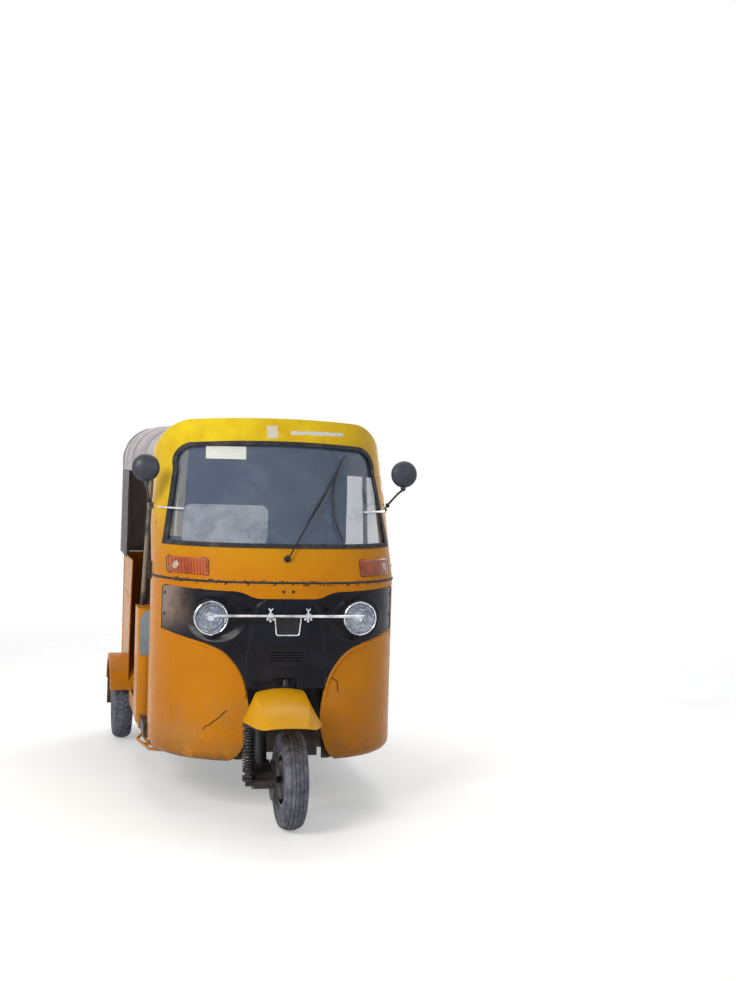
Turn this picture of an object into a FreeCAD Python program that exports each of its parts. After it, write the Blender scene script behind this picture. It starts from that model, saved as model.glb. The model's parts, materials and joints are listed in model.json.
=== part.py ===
import FreeCAD, Part
import math
import os

# An auto rickshaw with one front wheel, a soft hood and an engine under a rear lid.
# Millimetres, +Z up, ground at z 0, front towards -Y, +X is the vehicle's own left side.
# Places along the vehicle are distances behind the front axle, turned into Y by back().

V = FreeCAD.Vector

# Overall sizes
FRONT_OVERHANG = 262.5
WHEELBASE = 2000
REAR_OVERHANG = 372.5
OVERALL_LENGTH = FRONT_OVERHANG + WHEELBASE + REAR_OVERHANG
BODY_HALF_WIDTH = 540
FENDER_BULGE = 90
FENDER_COVER = 75
FIT_GAP = 0.3
TOUCH_GAP = 2
BEYOND = 3000

# Wheels
TYRE_RADIUS = 205
TYRE_WIDTH = 100
TYRE_BEAD_RADIUS = 103
RIM_FLANGE_RADIUS = 112
RIM_WIDTH = 76
RIM_WALL = 3
HUB_RADIUS = 34
HUB_BORE_RADIUS = 15
DRUM_RADIUS = 84

# Front skin: a shallow front arc, round corners and straight sides, seen from above
NOSE_BACK = 150
NOSE_RADIUS = 1000
CORNER_RADIUS = 400
COWL_REAR_BACK = 640
SCREEN_REAR_BACK = 600
COWL_BOTTOM_Z = 240
COWL_WALL = 6
COWL_BOTTOM_ROUND = 45
SEAM_Z = 1000
SEAM_GAP = 4
SCREEN_TOP_Z = 1705
SCREEN_RAKE_DEG = 29.7

# Fascia, front view
FASCIA_PROUD = 4
FASCIA_WALL = 6
FASCIA_BOTTOM_Z = 556
NOTCH_HALF = 44
NOTCH_TOP_Z = 603
LAMP_X = 320
LAMP_Z = 850
LAMP_RADIUS = 66
LAMP_RIM_WALL = 7
LAMP_FACE_BACK = 190
LAMP_DEPTH = 120
LAMP_BAR_Z = 866
LAMP_BAR_RADIUS = 6.5
LAMP_BAR_HALF = 318
LAMP_BAR_STANDOFF = 34
CLAMP_X = 80
LOUVRE_COUNT = 4
LOUVRE_PITCH = 12
LOUVRE_HEIGHT = 5
LOUVRE_HALF = 73
LOUVRE_BOTTOM_Z = 672

# Windscreen
FRAME_DEPTH = 26
SEAL_WIDTH = 18
SEAL_PROUD = 4
SEAL_DEPTH = 20
GLASS_INSET = 8
GLASS_WALL = 6

# Mirrors
MIRROR_X = BODY_HALF_WIDTH + 42
MIRROR_BACK = 505
MIRROR_Z = 1470
MIRROR_RADIUS = 59
MIRROR_CLAMP_Z = 1300
MIRROR_CLAMP_BACK = 705

# Steering
STEER_RAKE_DEG = 20
STEER_BACK_AT_AXLE = 36
COLUMN_RADIUS = 17
CROWN_Z = 525
COLUMN_TOP_Z = 985
HEAD_RADIUS = 28
HEAD_BOTTOM_Z = 665
HEAD_TOP_Z = 925
FORK_X = -112
LEG_RADIUS = 28
PIVOT_BACK = 85
PIVOT_Z = 238
LINK_X_OUT = -157
LINK_X_IN = -76
SPRING_X = -178
SPRING_RADIUS = 27
SPRING_WIRE = 4.5
SPRING_TURNS = 9
SPRING_BOTTOM_Z = 226
SPRING_TOP_Z = 438
SPRING_BOTTOM_BACK = -42
SPRING_TOP_BACK = -20
HANDLEBAR_Z = 985
MUDGUARD_WALL = 3

# Wheel well behind the mouth
WELL_HALF = 228
WELL_REAR_BACK = 465
WELL_ROOF_Z = 645
WELL_WALL = 4

# Floor and lower body
FLOOR_Z = 262
FLOOR_WALL = 24
SILL_HALF = BODY_HALF_WIDTH + 16
SILL_HEIGHT = 60
DOOR_REAR_BACK = 860
PARTITION_BACK = 1060
SIDE_PANEL_TOP_Z = 815
SIDE_PANEL_INNER = BODY_HALF_WIDTH - 62
SIDE_PANEL_OUTER = BODY_HALF_WIDTH + 35
PANEL_WALL = 5
SEAT_BOX_HALF = 260
DRIVER_SEAT_Z = 560
PASSENGER_BASE_BACK = WHEELBASE - 500
PASSENGER_SEAT_Z = 560
BACKREST_BACK = WHEELBASE - 55
CUSHION_HEIGHT = 95
STEP_Z = 222
STEP_RADIUS = 7
STEP_PITCH = 34

# Rear body
REAR_HALF = BODY_HALF_WIDTH + 20
REAR_FACE_BACK = WHEELBASE + 335
REAR_PANEL_TOP_Z = 985
QUARTER_FRONT_BACK = WHEELBASE - 210
QUARTER_TOP_Z = 985
ARCH_RADIUS = 245
FENDER_HALF = REAR_HALF + FENDER_BULGE
REAR_TRACK = 2 * (FENDER_HALF - FENDER_COVER)
LID_HALF = 400
LID_TOP_Z = 610
LID_BOTTOM_Z = 330
LID_WALL = 6
LID_GAP = 5.5
LID_HINGE_STANDOFF = 13
LID_PIN_RADIUS = 2.7
BUMPER_Z = 270
BUMPER_RADIUS = 19
REAR_RAIL_Z = 302
RAIL_INNER = 160
RAIL_OUTER = 205
RAIL_HEIGHT = 45
KNUCKLE_RADIUS = 7
HINGE_X = 240
TOW_EYE_RADIUS = 12
TOW_EYE_WIDTH = 12
STUB_REACH = 62
ARM_INSET = 62
ARM_PIVOT_BACK = WHEELBASE - 360
SILENCER_X = 290
SILENCER_Z = 262
PLATE_HOLE_SPACING = 180
PLATE_HOLE_RADIUS = 3.5
PLATE_Z = 700
ENGINE_HALF = 150

# Hood
HOOD_HALF = BODY_HALF_WIDTH + 45
HOOD_TOP_Z = 1702
HOOD_REAR_TOP_BACK = WHEELBASE + 215
HOOD_SIDE_Z = 1450
HOOD_WALL = 8
HOOP_RADIUS = 11
HOOP_BACKS = (960, WHEELBASE - 660, WHEELBASE - 280, WHEELBASE + 60)
HOOD_WIDE_BACK = WHEELBASE - 400
RAIL_RADIUS = 13
RAIL_FRONT_BACK = 745
WINDOW_HALF = 247
WINDOW_BOTTOM_Z = 1020
WINDOW_TOP_Z = 1262
WINDOW_ROUND = 50

FRONT_AXLE_Y = -OVERALL_LENGTH / 2 + FRONT_OVERHANG
AXLE_Z = TYRE_RADIUS
TAN_SCREEN = math.tan(math.radians(SCREEN_RAKE_DEG))
TAN_STEER = math.tan(math.radians(STEER_RAKE_DEG))


def back(distance):
    """Y of a place this far behind the front axle."""
    return FRONT_AXLE_Y + distance


def box(x0, x1, y0, y1, z0, z1):
    return Part.makeBox(x1 - x0, y1 - y0, z1 - z0, V(x0, y0, z0))


def rod(start, end, radius):
    start, end = V(*start), V(*end)
    return Part.makeCylinder(radius, (end - start).Length, start, end - start)


def fuse(shapes):
    shapes = list(shapes)
    return shapes[0].fuse(shapes[1:]).removeSplitter() if len(shapes) > 1 else shapes[0]


def mirrored(shape):
    """The same shape on the other side of the centre plane."""
    return shape.mirror(V(0, 0, 0), V(1, 0, 0))


def largest(shape):
    """The biggest solid of a shape, without the slivers that a cut leaves."""
    return max(shape.Solids, key=lambda solid: solid.Volume)


def both_sides(shape):
    return Part.makeCompound([shape, mirrored(shape)])


def outline(points, place):
    """Closed wire: a pair is a corner, and a pair followed by "via" bends through it to the next pair."""
    nodes = [(place(*p[:2]), len(p) > 2) for p in points]
    edges = []
    index = 0
    count = len(nodes)
    while index < count:
        start = nodes[index][0]
        following, is_via = nodes[(index + 1) % count]
        if is_via:
            end = nodes[(index + 2) % count][0]
            edges.append(Part.Arc(start, following, end).toShape())
            index += 2
        else:
            edges.append(Part.LineSegment(start, following).toShape())
            index += 1
    return Part.Wire(edges)


def prism(points, axis, low, high, grow=0):
    """Solid of an outline drawn in the plane across the axis, from low to high along it."""
    places = {
        "x": lambda y, z: V(low, y, z),
        "y": lambda x, z: V(x, low, z),
        "z": lambda x, y: V(x, y, low),
    }
    travel = {"x": V(high - low, 0, 0), "y": V(0, high - low, 0), "z": V(0, 0, high - low)}
    face = Part.Face(outline(points, places[axis]))
    if grow:
        face = face.makeOffset2D(grow)
    return face.extrude(travel[axis])


def mirrored_points(points):
    """An outline's right half, listed upwards, closed by its mirror image."""
    return points + [(-p[0],) + tuple(p[1:]) for p in reversed(points)]


def bent_path(points, bend):
    """Wire through the points with a tangent arc at each inner one."""
    points = [V(*p) for p in points]
    edges = []
    start = points[0]
    for before, corner, after in zip(points, points[1:], points[2:]):
        way_in = (corner - before).normalize()
        way_out = (after - corner).normalize()
        half = way_in.getAngle(way_out) / 2
        inward = (way_out - way_in).normalize()
        arc_start = corner - way_in * bend * math.tan(half)
        arc_end = corner + way_out * bend * math.tan(half)
        arc_middle = corner + inward * (bend / math.cos(half) - bend)
        edges.append(Part.LineSegment(start, arc_start).toShape())
        edges.append(Part.Arc(arc_start, arc_middle, arc_end).toShape())
        start = arc_end
    edges.append(Part.LineSegment(start, points[-1]).toShape())
    return Part.Wire(edges)


def bar(points, radius, bend):
    """Round bar along a bent path."""
    path = bent_path(points, bend)
    first = V(*points[0])
    section = Part.Wire(Part.makeCircle(radius, first, V(*points[1]) - first))
    return path.makePipeShell([section], True, False)


def revolve_x(points, centre):
    """Solid of revolution about the line along X through centre, from (x, radius) points."""
    wire = outline(points, lambda x, r: V(centre[0] + x, centre[1], centre[2] + r))
    return Part.Face(wire).revolve(V(*centre), V(1, 0, 0), 360)


# Front skin

CORNER_SINE = (BODY_HALF_WIDTH - CORNER_RADIUS) / (NOSE_RADIUS - CORNER_RADIUS)
CORNER_COSINE = math.sqrt(1 - CORNER_SINE ** 2)
CORNER_BACK = NOSE_BACK + NOSE_RADIUS - (NOSE_RADIUS - CORNER_RADIUS) * CORNER_COSINE


def skin_plan(inset, rear_back):
    """Plan outline of the front skin, moved inwards by inset."""
    corner_x = BODY_HALF_WIDTH - CORNER_RADIUS
    radius = CORNER_RADIUS - inset
    middle = (math.asin(CORNER_SINE) + math.pi / 2) / 2
    right = [
        (BODY_HALF_WIDTH - inset, back(rear_back)),
        (BODY_HALF_WIDTH - inset, back(CORNER_BACK)),
        (corner_x + radius * math.sin(middle), back(CORNER_BACK) - radius * math.cos(middle), "via"),
        (corner_x + radius * CORNER_SINE, back(CORNER_BACK) - radius * CORNER_COSINE),
    ]
    left = [(-p[0],) + tuple(p[1:]) for p in reversed(right)]
    return right + [(0, back(NOSE_BACK) + inset, "via")] + left


def skin_block(inset, rear_back, low, high, tangent=0):
    """The whole volume inside the skin between two heights, leaning back by the tangent."""
    wire = outline(skin_plan(inset, rear_back), lambda x, y: V(x, y, low))
    height = high - low
    return Part.Face(wire).extrude(V(0, height * tangent, height))


def skin(inset, wall, rear_back, low, high, tangent=0):
    """Wall of the front skin, open at the rear, the top and the bottom."""
    outer = skin_block(inset, rear_back, low, high, tangent)
    inner = skin_block(inset + wall, rear_back + 2 * wall, low, high, tangent)
    return outer.cut(inner)


def skin_back(x, z):
    """Distance behind the front axle of the skin's outer face at this place."""
    x = abs(x)
    corner_x = BODY_HALF_WIDTH - CORNER_RADIUS
    if x <= NOSE_RADIUS * CORNER_SINE:
        depth = NOSE_BACK + NOSE_RADIUS - math.sqrt(NOSE_RADIUS ** 2 - x ** 2)
    else:
        depth = CORNER_BACK - math.sqrt(max(CORNER_RADIUS ** 2 - (x - corner_x) ** 2, 0))
    return depth + max(z - SEAM_Z, 0) * TAN_SCREEN


# Right half of the fascia's front view: x, z, from the bottom edge up and round
CHEEK_EDGE = [(162, 520), (180, 600, "via"), (222, 668), (268, 712, "via"), (330, 738)]
FASCIA_HALF = BODY_HALF_WIDTH - 33
BROW_EDGE = [(FASCIA_HALF, 782), (FASCIA_HALF, 955), (FASCIA_HALF - 5, 968, "via"), (FASCIA_HALF - 18, 973)]
DIP_EDGE = [(363, 967), (230, 963), (190, 957, "via"), (160, 944), (132, 936, "via"), (100, 934)]
FASCIA_EDGE = CHEEK_EDGE + BROW_EDGE + DIP_EDGE
# Right half of the mouth, up from the floor
MOUTH_EDGE = [(262, 230), (205, 262, "via"), (172, 320), (152, 420, "via"), (162, 520)]


def low_rounded(block, radius):
    """The block with its lower outline rounded, apart from the rear edge."""
    floor = block.BoundBox.ZMin
    rear = block.BoundBox.YMax
    low = [e for e in block.Edges if e.BoundBox.ZMax < floor + 1 and e.BoundBox.YMin < rear - 1]
    return block.makeFillet(radius, low)


def cowl_cavity(clearance):
    """The volume inside the front panel, smaller all round by the clearance."""
    inset = COWL_WALL + clearance
    block = skin_block(inset, COWL_REAR_BACK + COWL_WALL, COWL_BOTTOM_Z + inset, SEAM_Z)
    return low_rounded(block, COWL_BOTTOM_ROUND - inset)


def front_cowl():
    """Shell of the front panel with a rolled lower lip, open where the fascia and the wheel's mouth are."""
    outer = low_rounded(skin_block(0, COWL_REAR_BACK, COWL_BOTTOM_Z, SEAM_Z), COWL_BOTTOM_ROUND)
    inner = cowl_cavity(0)
    low, high = COWL_BOTTOM_Z - 5, COWL_BOTTOM_Z + 20
    underside = skin_block(COWL_BOTTOM_ROUND + 6, COWL_REAR_BACK + COWL_WALL, low, high)
    opening = mirrored_points(MOUTH_EDGE[:-1] + FASCIA_EDGE)
    hole = prism(opening, "y", back(0), back(CORNER_BACK), grow=FIT_GAP)
    return outer.cut(inner).cut(underside).cut(hole)


def front_fascia():
    shell = skin(-FASCIA_PROUD, FASCIA_PROUD + FASCIA_WALL, COWL_REAR_BACK, 500, SEAM_Z)
    panel = shell.common(prism(mirrored_points(FASCIA_EDGE), "y", back(0), back(CORNER_BACK)))
    panel = panel.cut(box(-BEYOND, BEYOND, back(0), back(CORNER_BACK), 0, FASCIA_BOTTOM_Z))
    panel = panel.cut(box(-NOTCH_HALF, NOTCH_HALF, back(0), back(CORNER_BACK), 0, NOTCH_TOP_Z))
    for side in (-1, 1):
        centre = side * LAMP_X
        opening = LAMP_RADIUS + LAMP_RIM_WALL + FIT_GAP
        panel = panel.cut(rod((centre, back(0), LAMP_Z), (centre, back(CORNER_BACK), LAMP_Z), opening))
    for number in range(LOUVRE_COUNT):
        z = LOUVRE_BOTTOM_Z + number * LOUVRE_PITCH
        panel = panel.cut(box(-LOUVRE_HALF, LOUVRE_HALF, back(0), back(CORNER_BACK), z, z + LOUVRE_HEIGHT))
    return panel


def headlamp(side):
    """Rim with its closed bowl, and the lens in front of it."""
    x = side * LAMP_X
    face = back(LAMP_FACE_BACK)
    outer = rod((x, face, LAMP_Z), (x, face + LAMP_DEPTH, LAMP_Z), LAMP_RADIUS + LAMP_RIM_WALL)
    hollow = rod((x, face, LAMP_Z), (x, face + LAMP_DEPTH - LAMP_RIM_WALL, LAMP_Z), LAMP_RADIUS)
    dome_depth = 10
    dome_radius = (LAMP_RADIUS ** 2 + dome_depth ** 2) / (2 * dome_depth)
    dome = Part.makeSphere(dome_radius, V(x, face - dome_depth + dome_radius, LAMP_Z))
    lens = dome.common(rod((x, face - 2 * dome_depth, LAMP_Z), (x, face + 4, LAMP_Z), LAMP_RADIUS - FIT_GAP))
    return outer.cut(hollow), lens


def lamp_bar():
    """Straight bar across the fascia, held off it by two clamps."""
    y = back(NOSE_BACK - FASCIA_PROUD - LAMP_BAR_STANDOFF)
    pieces = [rod((-LAMP_BAR_HALF, y, LAMP_BAR_Z), (LAMP_BAR_HALF, y, LAMP_BAR_Z), LAMP_BAR_RADIUS)]
    for x in (-CLAMP_X, CLAMP_X):
        pieces.append(rod((x, y, LAMP_BAR_Z), (x, back(skin_back(x, LAMP_BAR_Z)), LAMP_BAR_Z), 5))
        pieces.append(rod((x - 9, y, LAMP_BAR_Z), (x + 9, y, LAMP_BAR_Z), 11))
        pieces.append(rod((x, y, LAMP_BAR_Z - 18), (x, y, LAMP_BAR_Z + 30), 4))
    fascia = skin_block(-FASCIA_PROUD - FIT_GAP, COWL_REAR_BACK, FASCIA_BOTTOM_Z, SEAM_Z)
    return fuse(pieces).cut(fascia)


def emblem_frame():
    """Blank raised frame with a wider top, low on the fascia's centre."""
    outer = [(40, 782), (57, 858), (-57, 858), (-40, 782)]
    inner = [(35, 787), (51, 853), (-51, 853), (-35, 787)]
    plate = skin(-FASCIA_PROUD - 4, 4 - FIT_GAP, COWL_REAR_BACK, 760, 870)
    ring = prism(outer, "y", back(0), back(CORNER_BACK)).cut(prism(inner, "y", back(0), back(CORNER_BACK)))
    return plate.common(ring)


def front_indicators():
    inner, outer = BODY_HALF_WIDTH - 211, BODY_HALF_WIDTH - 48
    shape = [(inner, 1028), (inner, 1095), (outer, 1088), (outer, 1026)]
    block = skin(-12, 12 - FIT_GAP, COWL_REAR_BACK, SEAM_Z, 1150, TAN_SCREEN)
    lamp = block.common(prism(shape, "y", back(0), back(COWL_REAR_BACK)))
    return both_sides(lamp)


# Right half of the screen frame's and the window's front view: x, z
FRAME_FOOT = BODY_HALF_WIDTH + 5
FRAME_EDGE = [
    (FRAME_FOOT, SEAM_Z + SEAM_GAP), (FRAME_FOOT, 1150), (FRAME_FOOT - 28, 1480),
    (FRAME_FOOT - 63, 1635, "via"), (FRAME_FOOT - 160, 1692),
]
WINDOW_FOOT = BODY_HALF_WIDTH - 32
WINDOW_EDGE = [
    (WINDOW_FOOT, 1143), (WINDOW_FOOT - 50, 1475), (WINDOW_FOOT - 66, 1552, "via"), (WINDOW_FOOT - 121, 1588),
]
FRAME_CROWN = [(0, SCREEN_TOP_Z, "via")]
WINDOW_CROWN = [(0, 1603, "via")]


def frame_half(z):
    """Half-width of the screen frame on its straight side."""
    (low_half, low), (high_half, high) = FRAME_EDGE[1], FRAME_EDGE[2]
    return low_half + (high_half - low_half) * (z - low) / (high - low)


def crowned(edge, crown, inset=0):
    """Both halves of a front view with an arched top, as a prism through the front."""
    left = [(-p[0],) + tuple(p[1:]) for p in reversed(edge)]
    return prism(edge + crown + left, "y", back(0), back(CORNER_BACK * 3), grow=-inset)


def screen_skin(inset, wall):
    return skin(inset, wall, SCREEN_REAR_BACK, SEAM_Z, SCREEN_TOP_Z + 10, TAN_SCREEN)


def screen_frame():
    frame = screen_skin(0, FRAME_DEPTH).common(crowned(FRAME_EDGE, FRAME_CROWN))
    return frame.cut(crowned(WINDOW_EDGE, WINDOW_CROWN))


def screen_envelope():
    """The screen frame's volume with a fitting gap all round, to cut what seats on it."""
    wall = FRAME_DEPTH + 2 * FIT_GAP
    block = skin(-FIT_GAP, wall, SCREEN_REAR_BACK + FIT_GAP, SEAM_Z, SCREEN_TOP_Z + 10, TAN_SCREEN)
    return block.common(crowned(FRAME_EDGE, FRAME_CROWN, -FIT_GAP))


def screen_seal():
    ring = screen_skin(-SEAL_PROUD, SEAL_DEPTH).common(crowned(WINDOW_EDGE, WINDOW_CROWN, FIT_GAP))
    return ring.cut(crowned(WINDOW_EDGE, WINDOW_CROWN, SEAL_WIDTH))


def windscreen():
    return screen_skin(GLASS_INSET, GLASS_WALL).common(crowned(WINDOW_EDGE, WINDOW_CROWN, SEAL_WIDTH + FIT_GAP))


def on_screen(x, z, proud):
    """A point in front of the screen's outer face."""
    return (x, back(skin_back(x, z) - proud), z)


def wiper():
    pivot_radius = 13
    pivot = on_screen(0, 1098, pivot_radius * TAN_SCREEN + FIT_GAP)
    top = on_screen(0, 1098, 26)
    pieces = [
        rod(pivot, top, pivot_radius),
        rod(top, on_screen(165, 1408, 24), 3.5),
        rod(on_screen(92, 1329, 20), on_screen(235, 1485, 20), 5),
    ]
    return fuse(pieces)


def mirrors():
    """Round heads on thin stems that are clamped to the screen pillars."""
    clamp_x = frame_half(MIRROR_CLAMP_Z - 12) + FIT_GAP
    base = V(clamp_x + 8, back(MIRROR_CLAMP_BACK), MIRROR_CLAMP_Z)
    face = back(MIRROR_BACK)
    head = rod((MIRROR_X, face, MIRROR_Z), (MIRROR_X, face + 14, MIRROR_Z), MIRROR_RADIUS)
    dome = Part.makeSphere(MIRROR_RADIUS * 1.6, V(MIRROR_X, face + 78, MIRROR_Z))
    cap = dome.common(rod((MIRROR_X, face - 30, MIRROR_Z), (MIRROR_X, face, MIRROR_Z), MIRROR_RADIUS))
    stem_y = face + 7
    stem = bar([tuple(base), (MIRROR_X, stem_y, MIRROR_Z - 100), (MIRROR_X, stem_y, MIRROR_Z - 50)], 5, 25)
    clamp_y = back(MIRROR_CLAMP_BACK)
    clamp = box(clamp_x, clamp_x + 16, clamp_y - 16, clamp_y + 16, MIRROR_CLAMP_Z - 12, MIRROR_CLAMP_Z + 12)
    return both_sides(fuse([head, cap, stem, clamp]))


def mirror_glass():
    y = back(MIRROR_BACK) + 14 + FIT_GAP
    return both_sides(rod((MIRROR_X, y, MIRROR_Z), (MIRROR_X, y + 2, MIRROR_Z), MIRROR_RADIUS - 3))


def wheel_arch():
    """Liner of the front wheel's well: side walls that flare behind the mouth, a rear wall and a roof."""
    lip = 160
    lip_back = NOSE_BACK + 26
    plan = [(lip, back(lip_back)), (WELL_HALF, back(lip_back + 66)), (WELL_HALF, back(WELL_REAR_BACK - 70)),
            (WELL_HALF - 20, back(WELL_REAR_BACK - 20), "via"), (WELL_HALF - 70, back(WELL_REAR_BACK))]
    outer = prism(mirrored_points(plan), "z", FLOOR_Z - 20, WELL_ROOF_Z)
    inner = prism(mirrored_points(plan), "z", FLOOR_Z - 30, WELL_ROOF_Z - WELL_WALL, grow=-WELL_WALL)
    front = box(-lip - WELL_WALL, lip + WELL_WALL, back(0), back(lip_back + 10), 0, WELL_ROOF_Z - WELL_WALL)
    hole = steering_rod(WELL_ROOF_Z - 60, WELL_ROOF_Z + 60, COLUMN_RADIUS + 6)
    return outer.cut(inner).cut(front).cut(hole).common(cowl_cavity(FIT_GAP))


# Steering and front wheel

def steer_back(z):
    return STEER_BACK_AT_AXLE + (z - AXLE_Z) * TAN_STEER


def steering_rod(low, high, radius):
    """Round bar on the steering axis between two heights."""
    return rod((0, back(steer_back(low)), low), (0, back(steer_back(high)), high), radius)


def steering_head():
    """Head tube with a web down to the floor behind the wheel well."""
    tube = steering_rod(HEAD_BOTTOM_Z, HEAD_TOP_Z, HEAD_RADIUS)
    web = box(-20, 20, back(steer_back(760)), back(WELL_REAR_BACK + 40), 720, 780)
    post_foot = FLOOR_Z + FLOOR_WALL + FIT_GAP
    post = box(-20, 20, back(WELL_REAR_BACK + TOUCH_GAP), back(WELL_REAR_BACK + 40), post_foot, 780)
    return fuse([tube, web, post]).cut(steering_rod(600, 1000, COLUMN_RADIUS + 0.5))


def mudguard_bracket():
    """Arm from the column to a pad that follows the mudguard's inside."""
    top = MUDGUARD_STATIONS[-1][1] - MUDGUARD_WALL - 6
    arm = box(-12, 12, back(30), back(steer_back(top)), top - 8, top)
    pad = box(-62, 12, back(8), back(38), top - 8, top + 20)
    return arm.fuse(pad.common(mudguard_room()))


def steering_fork():
    """Column, crown and the single leg on the vehicle's right of the wheel."""
    column = steering_rod(CROWN_Z, COLUMN_TOP_Z, COLUMN_RADIUS)
    knee_place = (FORK_X, back(steer_back(CROWN_Z) + 4), CROWN_Z - 15)
    pivot = (FORK_X, back(PIVOT_BACK), PIVOT_Z)
    crown = rod((0, back(steer_back(CROWN_Z)), CROWN_Z), knee_place, LEG_RADIUS - 3)
    knee = Part.makeSphere(LEG_RADIUS, V(*knee_place))
    leg = rod(knee_place, pivot, LEG_RADIUS)
    boss = rod((FORK_X - 30, pivot[1], PIVOT_Z), (FORK_X + 30, pivot[1], PIVOT_Z), LEG_RADIUS + 1)
    arm = box(FORK_X - 22, FORK_X + 18, back(SPRING_TOP_BACK), back(140), SPRING_TOP_Z + 4, SPRING_TOP_Z + 14)
    seat = Part.makeCylinder(SPRING_RADIUS - 1, 14, V(SPRING_X, back(SPRING_TOP_BACK), SPRING_TOP_Z + FIT_GAP))
    low, high = SPRING_TOP_Z + 4, SPRING_TOP_Z + 14
    reach = box(SPRING_X, FORK_X, back(SPRING_TOP_BACK - 22), back(SPRING_TOP_BACK + 22), low, high)
    return fuse([column, crown, knee, leg, boss, arm, seat, reach, mudguard_bracket()])


def front_link():
    """Leading link round the leg's pivot, with the brake plate, the stub axle and the spring's lower seat."""
    ends = ((PIVOT_BACK, PIVOT_Z, 34), (0, AXLE_Z, 36), (SPRING_BOTTOM_BACK, AXLE_Z - 4, 22))
    length = LINK_X_IN - LINK_X_OUT
    discs = [Part.makeCylinder(r, length, V(LINK_X_OUT, back(d), z), V(1, 0, 0)) for d, z, r in ends]
    pivot_y, spring_y = back(PIVOT_BACK), back(SPRING_BOTTOM_BACK)
    rear = [(pivot_y, PIVOT_Z - 26), (pivot_y, PIVOT_Z + 26), (back(0), AXLE_Z + 30), (back(0), AXLE_Z - 30)]
    front = [(back(0), AXLE_Z - 28), (back(0), AXLE_Z + 28), (spring_y, AXLE_Z + 14), (spring_y, AXLE_Z - 24)]
    webs = [prism(points, "x", LINK_X_OUT, LINK_X_IN) for points in (rear, front)]
    body = fuse(discs + webs)
    reach = 30 + FIT_GAP
    slot = rod((FORK_X - reach, pivot_y, PIVOT_Z), (FORK_X + reach, pivot_y, PIVOT_Z), LEG_RADIUS + 8)
    leg_way = rod((FORK_X, pivot_y, PIVOT_Z), (FORK_X, pivot_y + 30, PIVOT_Z + 100), LEG_RADIUS + 3)
    body = body.cut(slot).cut(leg_way)
    seat = Part.makeCylinder(SPRING_RADIUS - 1, 12, V(SPRING_X, spring_y, SPRING_BOTTOM_Z - 12 - 2 * FIT_GAP))
    lug = rod((SPRING_X - 12, spring_y, AXLE_Z), (LINK_X_OUT + 10, spring_y, AXLE_Z), 15)
    plate = rod((LINK_X_IN, back(0), AXLE_Z), (LINK_X_IN + 6, back(0), AXLE_Z), DRUM_RADIUS)
    stub = rod((LINK_X_IN, back(0), AXLE_Z), (40, back(0), AXLE_Z), HUB_BORE_RADIUS - 0.5)
    return fuse([body, seat, lug, plate, stub])


def coil(start, end, radius, wire, turns):
    """Coil spring between two points, its wire a helix."""
    start, end = V(*start), V(*end)
    way = end - start
    seat_room = 1
    length = way.Length - 2 * (wire + seat_room)
    path = Part.makeHelix(length / turns, length, radius - wire)
    section = Part.Wire(Part.makeCircle(wire, V(radius - wire, 0, 0), V(0, 1, 0)))
    solid = Part.Wire(path).makePipeShell([section], True, True)
    turn = FreeCAD.Rotation(V(0, 0, 1), way)
    solid.Placement = FreeCAD.Placement(start + way.normalize() * (wire + seat_room), turn)
    return solid


def front_spring():
    bottom = (SPRING_X, back(SPRING_BOTTOM_BACK), SPRING_BOTTOM_Z)
    top = (SPRING_X, back(SPRING_TOP_BACK), SPRING_TOP_Z)
    return coil(bottom, top, SPRING_RADIUS, SPRING_WIRE, SPRING_TURNS)


def front_damper():
    bottom = (SPRING_X, back(SPRING_BOTTOM_BACK), SPRING_BOTTOM_Z)
    top = (SPRING_X, back(SPRING_TOP_BACK), SPRING_TOP_Z)
    tilt_room = V(0, 0, 2)
    return rod(tuple(V(*bottom) + tilt_room), tuple(V(*top) - tilt_room), SPRING_RADIUS - 2 * SPRING_WIRE - 2)


# Mudguard stations: distance back, crown z, crown half-width, skirt half-width, skirt z, middle x
MUDGUARD_STATIONS = [
    (-FRONT_OVERHANG, 468, 68, 104, 459, -50),
    (-195, 514, 90, 138, 460, -50),
    (-105, 556, 101, 154, 458, -50),
    (-5, 578, 103, 148, 463, -50),
    (40, 576, 78, 104, 505, -27),
]


def mudguard_arch(station, wall):
    """Front view of the mudguard at a station, moved inwards by the wall, from its left foot to its right."""
    distance, crown, crown_half, skirt_half, skirt, middle = station
    drop = 0.12 * (crown - skirt) + 1
    half = [(skirt_half - wall, skirt), (crown_half - wall, crown - drop - wall)]
    arch = half + [(0, crown - wall, "via")] + [(-x, z) for x, z in reversed(half)]
    return [(middle + p[0],) + tuple(p[1:]) for p in arch]


def front_mudguard():
    sections = []
    for station in MUDGUARD_STATIONS:
        inner = list(reversed(mudguard_arch(station, MUDGUARD_WALL)))
        points = mudguard_arch(station, 0) + inner
        sections.append(outline(points, lambda x, z: V(x, back(station[0]), z)))
    return Part.makeLoft(sections, True, False)


def mudguard_room():
    """The volume under the mudguard, with a fitting gap below it."""
    sections = []
    for station in MUDGUARD_STATIONS:
        points = mudguard_arch(station, MUDGUARD_WALL)
        sections.append(outline(points, lambda x, z: V(x, back(station[0]), z - FIT_GAP)))
    return Part.makeLoft(sections, True, False)


GRIP_START = (164, back(steer_back(HANDLEBAR_Z)) + 100, HANDLEBAR_Z + 58)
GRIP_END = (240, back(steer_back(HANDLEBAR_Z)) + 190, HANDLEBAR_Z + 58)


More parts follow.
